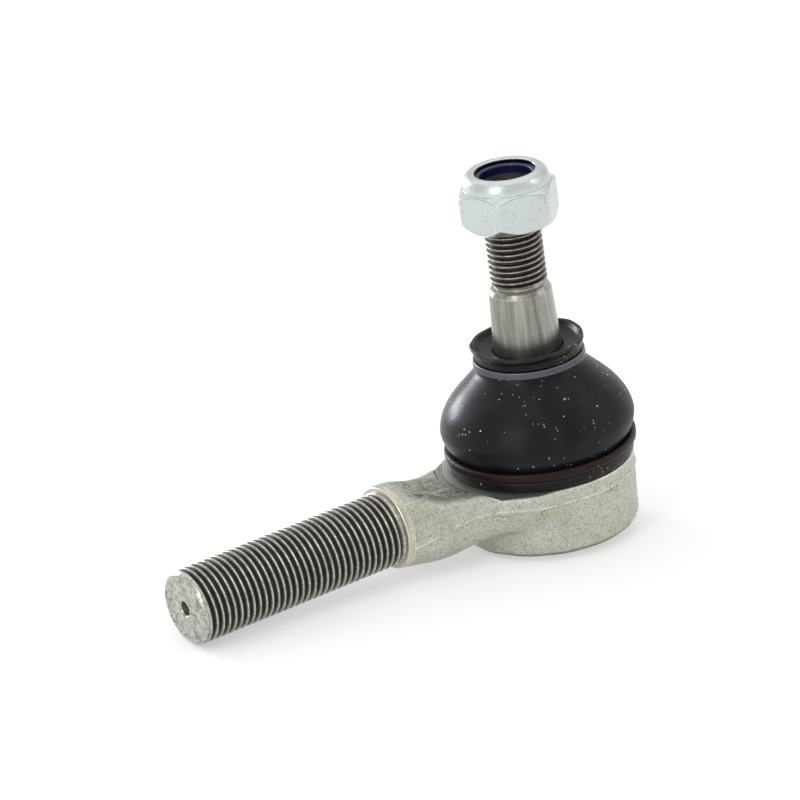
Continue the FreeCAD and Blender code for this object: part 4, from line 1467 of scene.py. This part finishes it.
@dataclass
class DustBoot:
    """The rubber boot, split at its shoulder into two halves.

    Its profiles are (radius, height) points, and the corners of its foot and lip have a third value, their round.
    """

    seam_z: float = 17.6
    seam_r: float = 17.1
    seam_inner_r: float = 14.93
    foot_z: float = 6.6
    lip_z: float = 23.6
    seam_fade: float = 1.2
    outer: tuple[Point, ...] = (
        (19.1, 6.6), (19.95, 8.2), (20.4, 10.2), (20.35, 11.6), (19.75, 13.6), (18.65, 15.6), (17.1, 17.6),
        (15.15, 19.6), (13.2, 21.5), (11.65, 23.1), (11.3, 23.9))
    inner: tuple[Point, ...] = (
        (8.74, 22.9), (10.2, 22.3), (12.2, 20.4), (13.9, 18.7), (15.6, 16.7), (17.0, 14.6), (18.1, 12.4),
        (18.4, 10.2), (17.6, 8.0), (16.8, 7.0))
    foot: tuple[tuple[float, float, float], ...] = (
        (16.65, 6.4, 0), (16.65, 6.45, 0), (15.85, 5.9, .1), (15.85, 5.05, .1), (16.65, 4.5, .1),
        (16.65, 2.15, .2), (19.4, 2.15, .45), (19.7, 4.3, .3), (18.9, 4.35, .1), (18.9, 6.5, .1), (19.1, 6.6, 0))
    lip: tuple[tuple[float, float, float], ...] = (
        (11.3, 23.9, 0), (11.2, 24.1, .1), (11.05, 24.15, .1), (11.05, 25.9, .15), (11.35, 26.0, .25),
        (11.5, 27.3, 1.2), (12.05, 28.3, .35), (11.8, 28.75, .3), (11.1, 28.7, .3), (10.3, 27.75, .8),
        (8.4, 27.3, .4), (7.5, 27.1, .2), (7.33, 26.5, .1), (7.52, 23.3, .3), (8.74, 22.9, 0))

    def halves(self) -> tuple[list[Point], list[Point]]:
        """The closed profiles of the lower and the upper half.

        Returns:
            The lower half's profile and the upper half's.
        """
        wall, inside = smooth_profile(self.outer, 14), smooth_profile(self.inner, 6)
        outer, inner = (self.seam_r, self.seam_z), (self.seam_inner_r, self.seam_z)
        below, above = self.seam_z - 0.01, self.seam_z + 0.01
        foot, lip = (rounded([corner[:2] for corner in corners], [corner[2] for corner in corners], steps)
                     for corners, steps in ((self.foot, 4), (self.lip, 5)))
        low = [*(p for p in wall if p[1] < below), outer, inner, *(p for p in inside if p[1] < below), *foot[1:-1]]
        high = [outer, *(p for p in wall if p[1] > above)][:-1] + lip
        return low, high + [*(p for p in inside if p[1] > above), inner][1:]

    def ripple(self, obj: bpy.types.Object) -> None:
        """Give the soft rubber its slight unevenness: an irregular rim and a wall a little out of round.

        Args:
            obj: One half of the boot.
        """
        place = places(obj)
        x, y, z = place.T.copy()
        r, angle = np.hypot(x, y), np.arctan2(y, x)
        rim = ramp(z, 26.6, 28.2) * ramp(r, 9.8, 11.0)
        uneven = 0.10 * np.sin(3 * angle + 0.7) + 0.06 * np.sin(7 * angle + 2.1) + 0.04 * np.sin(13 * angle)
        wall = ramp(z, 7.2, 10.2) * ramp(z, 22.5, 19.5)
        soft = 0.10 * np.sin(2 * angle + 1.9) + 0.05 * np.sin(5 * angle + 0.3)
        place[:, 2] += rim * uneven
        place[:, :2] *= (1 + (rim * uneven * 0.8 + wall * soft) / np.maximum(r, 1))[:, None]
        move_to(obj, place)

    def smooth_seam(self, obj: bpy.types.Object) -> None:
        """Clear the turn attribute at the seam, where the two halves run on into each other."""
        set_attribute(obj, "turn", np.abs(places(obj)[:, 2] - self.seam_z) < self.seam_fade, 0.0)

    def build(self, effects: EffectRack) -> None:
        """Make and dress the two halves.

        Args:
            effects: The shared shader groups.
        """
        rubber = BootRubber("boot_rubber", (0.0055, 0.0055, 0.006), 0.34).material(effects)
        names = ("dust_boot_wall", "dust_boot_collar")
        spans = ((self.foot_z, self.seam_z), (self.seam_z, self.lip_z))
        ends = ((Body.HOUSING, Body.BOOT), (Body.BOOT, Body.LIP))
        for name, profile, (low, high), (first, second) in zip(names, self.halves(), spans, ends):
            obj = ring(name, profile, 0.45, 176, 40.0)
            self.ripple(obj)
            mark_turns(obj)
            self.smooth_seam(obj)
            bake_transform(obj)
            settle(obj, rubber, None, "dust_boot")


@dataclass
class BootRings:
    """The two rings that hold the boot: a brown one in its foot and a grey one under its lip."""

    lower_z: float = 4.5
    lower_top: float = 6.45
    lower_r: float = 20.3
    upper_z: float = 24.3
    upper_top: float = 25.75
    upper_r: float = 11.9

    def lower(self) -> bpy.types.Object:
        """Turn the lower ring.

        Returns:
            The piece.
        """
        inner, outer = self.lower_r - 1.2, self.lower_r
        profile = rounded([(inner, self.lower_z), (inner, self.lower_top), (outer, self.lower_top),
                           (outer, self.lower_z), (inner, self.lower_z)], [0, .2, .6, .6, 0], 5)[:-1]
        obj = ring("boot_ring_lower", profile, 0.3, 192)
        mark_turns(obj)
        return obj

    def upper(self) -> bpy.types.Object:
        """Turn the upper ring, with the small step where its band overlaps.

        Returns:
            The piece.
        """
        inner, outer = self.upper_r - 0.7, self.upper_r
        profile = rounded([(inner, self.upper_z), (inner, self.upper_top), (outer - 0.15, self.upper_top),
                           (outer, self.upper_z), (inner, self.upper_z)], [0, .1, .2, .2, 0], 4)[:-1]
        obj = ring("boot_ring_upper", profile, 0.25, 240)
        place = places(obj)
        angle = np.degrees(np.arctan2(place[:, 1], place[:, 0]))
        r = np.hypot(place[:, 0], place[:, 1])
        past = (angle + 155.0) % 360
        lap = ramp(past, 38.0, 0.0) * (r > inner + 0.3)
        place[:, :2] *= (1 + 0.16 * lap / r)[:, None]
        move_to(obj, place)
        mark_turns(obj)
        return obj

    def build(self, effects: EffectRack) -> None:
        """Make and dress the rings.

        Args:
            effects: The shared shader groups.
        """
        brown = PaintedBand("brown_band", (0.011, 0.0035, 0.003), 0.36, worn=(0.035, 0.014, 0.012))
        grey = PaintedBand("grey_band", (0.100, 0.100, 0.110), 0.36, 0.8, worn=(0.20, 0.20, 0.215))
        settle(self.lower(), brown.material(effects), Body.HOUSING, "lower_boot_ring")
        settle(self.upper(), grey.material(effects), Body.LIP, "upper_boot_ring")


@dataclass
class LockNut:
    """The self-locking nut and its nylon insert, wound on the first turns of the stud."""

    seat_z: float = 55.15
    flat_r: float = 9.5
    corner_angle: float = 44.0
    hex_top: float = 8.45
    corner_top: float = 7.15
    height: float = 11.55
    seat_chamfer: float = 1.85
    crown_r: float = 9.15
    rim_r: float = 7.5
    opening_r: float = 6.3
    bore_r: float = 6.06
    bore_chamfer: float = 0.6
    recess_r: float = 7.53
    insert_in: float = 5.4
    insert_out: float = 7.5
    insert_z: float = 8.45
    insert_height: float = 2.1
    corner_power: float = 30.0
    sides: int = 360
    smooth_angle: float = 60.0

    def hexagon(self, angle: np.ndarray) -> np.ndarray:
        """The hexagon's radius in each direction, with its corners slightly rounded.

        Args:
            angle: The directions, in radians.

        Returns:
            The radii.
        """
        sides = np.radians(self.corner_angle + 30 + 60 * np.arange(6))
        reach = np.maximum(np.cos(angle[:, None] - sides), 1e-6)
        return self.flat_r / ((reach ** self.corner_power).sum(1) ** (1 / self.corner_power))

    def nut(self) -> bpy.types.Object:
        """Make the nut: a turned profile whose outside is held in by the hexagon.

        Returns:
            The piece.
        """
        corner_r = self.flat_r / math.cos(math.radians(30))
        slope = (self.hex_top - self.corner_top) / (corner_r - self.crown_r)
        beyond = corner_r + 0.35
        seat_r = self.flat_r - 0.15
        seat_end = self.seat_chamfer * (beyond - seat_r) / (corner_r - seat_r)
        cone_low = self.hex_top - slope * (beyond - self.crown_r)
        outside = [(self.bore_r + self.bore_chamfer, 0.0), (seat_r, 0.0)]
        run_on(outside, (beyond, seat_end), 22)
        run_on(outside, (beyond, cone_low), 18)
        run_on(outside, (self.crown_r, self.hex_top), 34)
        top = self.height
        crown = smooth_profile([(self.crown_r, self.hex_top), (9.14, top - 2.6), (9.04, top - 1.95),
                                (8.8, top - 1.25), (8.38, top - 0.65), (7.85, top - 0.22),
                                (self.rim_r - 0.1, top - 0.03), (7.0, top - 0.06), (6.6, top - 0.2),
                                (self.opening_r + 0.05, top - 0.42), (self.opening_r, top - 0.7)], 5)
        low, high = self.insert_z - 0.03, self.insert_z + self.insert_height + 0.03
        inside = spaced([(self.opening_r, high), (self.recess_r, high), (self.recess_r, low), (self.bore_r, low),
                         (self.bore_r, self.bore_chamfer), outside[0]], 0.4)[:-1]
        profile = outside + crown[1:] + inside
        limit, height = np.array(profile).T
        angle = np.arange(self.sides) * 2 * math.pi / self.sides
        held = soft_min(limit[:, None], np.broadcast_to(self.hexagon(angle), (len(limit), self.sides)), 0.22)
        outer = (np.arange(len(limit)) < len(outside) + 1)[:, None]
        verts, faces = turned_grid(np.where(outer, held, limit[:, None]), height + self.seat_z, True)
        obj = make_object("lock_nut_body", verts, faces, self.smooth_angle)
        tidy_normals(obj, self.smooth_angle)
        x, y, z = places(obj).T
        # The inside attribute: painted shadow on the opening's wall above the insert.
        deep = ramp(np.hypot(x, y), self.opening_r + 0.15, self.opening_r + 0.05)
        add_attribute(obj, "inside", deep * (z - self.seat_z > self.insert_z))
        mark_turns(obj, 1)
        return obj

    def insert(self) -> bpy.types.Object:
        """Turn the nylon insert.

        Returns:
            The piece.
        """
        low = self.seat_z + self.insert_z
        high = low + self.insert_height
        profile = rounded([(self.insert_in, low), (self.insert_out, low), (self.insert_out, high),
                           (self.insert_in, high), (self.insert_in, low)], [0, .1, .1, .45, 0], 4)[:-1]
        obj = ring("nylon_locking_ring", profile, 0.25, 144)
        mark_turns(obj)
        return obj

    def build(self, effects: EffectRack) -> None:
        """Make and dress the nut and its insert.

        Args:
            effects: The shared shader groups.
        """
        zinc = BrightZinc("nut_zinc", (0.575, 0.61, 0.58), 0.27, 1.0).material(effects)
        # The insert's paler edge colour is a painted highlight on its rounded rim.
        nylon = MouldedPlastic("blue_nylon", (0.005, 0.006, 0.040), 0.35, edge=(0.10, 0.10, 0.34))
        settle(self.nut(), zinc, Body.NUT, "lock_nut")
        settle(self.insert(), nylon.material(effects), Body.NUT_CARRIER, "nylon_insert")


@dataclass
class InnerPieces:
    """The pieces inside the socket, which keep their CAD shapes and get their own finishes."""

    finishes: dict[str, tuple[Finish, Slot]] = field(default_factory=lambda: {
        "ball_seat": (MouldedPlastic("acetal_seat", (0.72, 0.69, 0.60), 0.38, edge=(0.85, 0.83, 0.76)),
                      Slot.SEAT),
        "pressure_cup": (MouldedPlastic("acetal_cup", (0.70, 0.67, 0.58), 0.38, edge=(0.85, 0.83, 0.76)),
                         Slot.SEAT),
        "disc_spring": (TurnedSteel("spring_steel", (0.24, 0.24, 0.26), 0.3, 1.0), Slot.SPRING),
        "end_cap": (BrightZinc("cap_zinc", (0.68, 0.69, 0.62), 0.3, 1.0), Slot.CAP)})

    def build(self, effects: EffectRack) -> None:
        """Dress the inner pieces.

        Args:
            effects: The shared shader groups.
        """
        for node, (finish, slot) in self.finishes.items():
            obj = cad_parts[node]
            obj.data.materials.clear()
            obj.data.materials.append(finish.material(effects))
            LOG.info("%s: CAD shape, %s", node, finish.name)


# ---------------------------------------------------------------------------------------------------------
# Floor, lights and camera
# ---------------------------------------------------------------------------------------------------------

@dataclass
class Studio:
    """A pale floor that the part rests on, soft lights and the camera."""

    rest_socket: Point = (-17.0, -13.3)
    rest_shank: Point = (-90.6, -8.0)
    aim: tuple[float, float, float] = (-23.0, 15.94, 18.46)
    azimuth: float = -31.824
    elevation: float = 22.181
    roll: float = -8.092
    distance: float = 1068.4
    lens: float = 229.5
    floor_reach: float = 1800.0
    floor_gap: float = 0.15
    floor_glow: float = 0.38
    room_light: float = 0.90
    lights_aim: tuple[float, float, float] = (-20.0, 0.0, 15.0)

    def floor(self) -> None:
        """Lay the floor through the two places where the part touches it."""
        (x0, z0), (x1, z1) = self.rest_socket, self.rest_shank
        slope = (z1 - z0) / (x1 - x0)
        size = self.floor_reach
        corners = np.array([(x, y, z0 + (x - x0) * slope - self.floor_gap) for x, y in
                            ((-size, -size), (size, -size), (size, size), (-size, size))])
        floor = make_object("floor", corners, np.array([(0, 1, 2, 3)]))
        paper = bpy.data.materials.new("pale_floor")
        paper.use_nodes = True
        graph = Graph(paper.node_tree)
        shader = paper.node_tree.nodes["Principled BSDF"].inputs
        tone = graph.mix(graph.noise(graph.place(), 3.0, 2.0), (0.60, 0.60, 0.60), (0.62, 0.62, 0.62))
        graph.link(tone, shader["Base Color"])
        for name, value in (("Roughness", 0.9), ("Specular IOR Level", 0.1),
                            ("Emission Strength", self.floor_glow), ("Emission Color", rgba((1.0, 1.0, 1.0)))):
            shader[name].default_value = value
        floor.data.materials.append(paper)

    def light(self, name: str, place: Sequence[float], size: Sequence[float], power: float,
              colour: Colour) -> None:
        """Hang one soft light that faces the part.

        Args:
            name: Its name.
            place: Where it hangs, in millimetres.
            size: Its width and height, in millimetres.
            power: Its power, in watts.
            colour: Its colour.
        """
        data = bpy.data.lights.new(name, "AREA")
        data.shape = "RECTANGLE"
        data.size, data.size_y = size[0] * MM, size[1] * MM
        data.energy = power
        data.color = colour
        obj = bpy.data.objects.new(name, data)
        obj.location = Vector(place) * MM
        obj.rotation_euler = (Vector(self.lights_aim) * MM - obj.location).to_track_quat("-Z", "Y").to_euler()
        bpy.context.scene.collection.objects.link(obj)

    def surroundings(self) -> None:
        """Light the room: white overhead, greyer towards the horizon."""
        world = bpy.data.worlds.new("soft_room")
        world.use_nodes = True
        graph = Graph(world.node_tree)
        direction = graph.add("ShaderNodeTexCoord").outputs["Generated"]
        tone = graph.mix(graph.remap(graph.split(direction)[2], 0.05, 0.80), (1.0, 1.0, 1.0), (0.90, 0.91, 0.93))
        background = world.node_tree.nodes["Background"].inputs
        graph.link(tone, background["Color"])
        background["Strength"].default_value = self.room_light
        bpy.context.scene.world = world

    def camera(self) -> None:
        """Set the camera up."""
        a, e, roll = (math.radians(v) for v in (self.azimuth, self.elevation, self.roll))
        back = Vector((math.sin(a) * math.cos(e), -math.cos(a) * math.cos(e), math.sin(e)))
        level = Vector((math.cos(a), math.sin(a), 0))
        right = level * math.cos(roll) + back.cross(level) * math.sin(roll)
        up = back.cross(right)
        data = bpy.data.cameras.new("camera")
        data.lens, data.sensor_width = self.lens, 36.0
        data.clip_start, data.clip_end = 0.05, 20.0
        obj = bpy.data.objects.new("camera", data)
        obj.location = (Vector(self.aim) + back * self.distance) * MM
        obj.rotation_mode = "QUATERNION"
        obj.rotation_quaternion = Matrix((right, up, back)).transposed().to_quaternion()
        bpy.context.scene.collection.objects.link(obj)
        bpy.context.scene.camera = obj

    def build(self) -> None:
        """Set up the floor, the lights, the room and the camera."""
        self.floor()
        self.light("left_softbox", (-700, -300, 430), (260, 620), 1.6, (0.97, 0.985, 1.0))
        self.light("right_softbox", (620, -520, 420), (260, 620), 0.5, (1.0, 0.99, 0.97))
        self.light("back_softbox", (-170, 900, 215), (240, 160), 3.8, (0.88, 0.92, 1.0))
        self.light("top_softbox", (60, 160, 900), (1500, 1300), 2.2, (1.0, 1.0, 1.0))
        self.surroundings()
        self.camera()
        bpy.context.scene.view_settings.view_transform = "Standard"


def main() -> None:
    """Build the tie rod end's pieces in order, then the studio round them."""
    logging.basicConfig(level=logging.INFO, format="%(name)s: %(message)s")
    effects, cutter = EffectRack(), ThreadCutter()
    Housing().build(cutter, effects)
    BallStud().build(cutter, effects)
    DustBoot().build(effects)
    BootRings().build(effects)
    LockNut().build(effects)
    InnerPieces().build(effects)
    Studio().build()


if __name__ == "__main__":
    main()
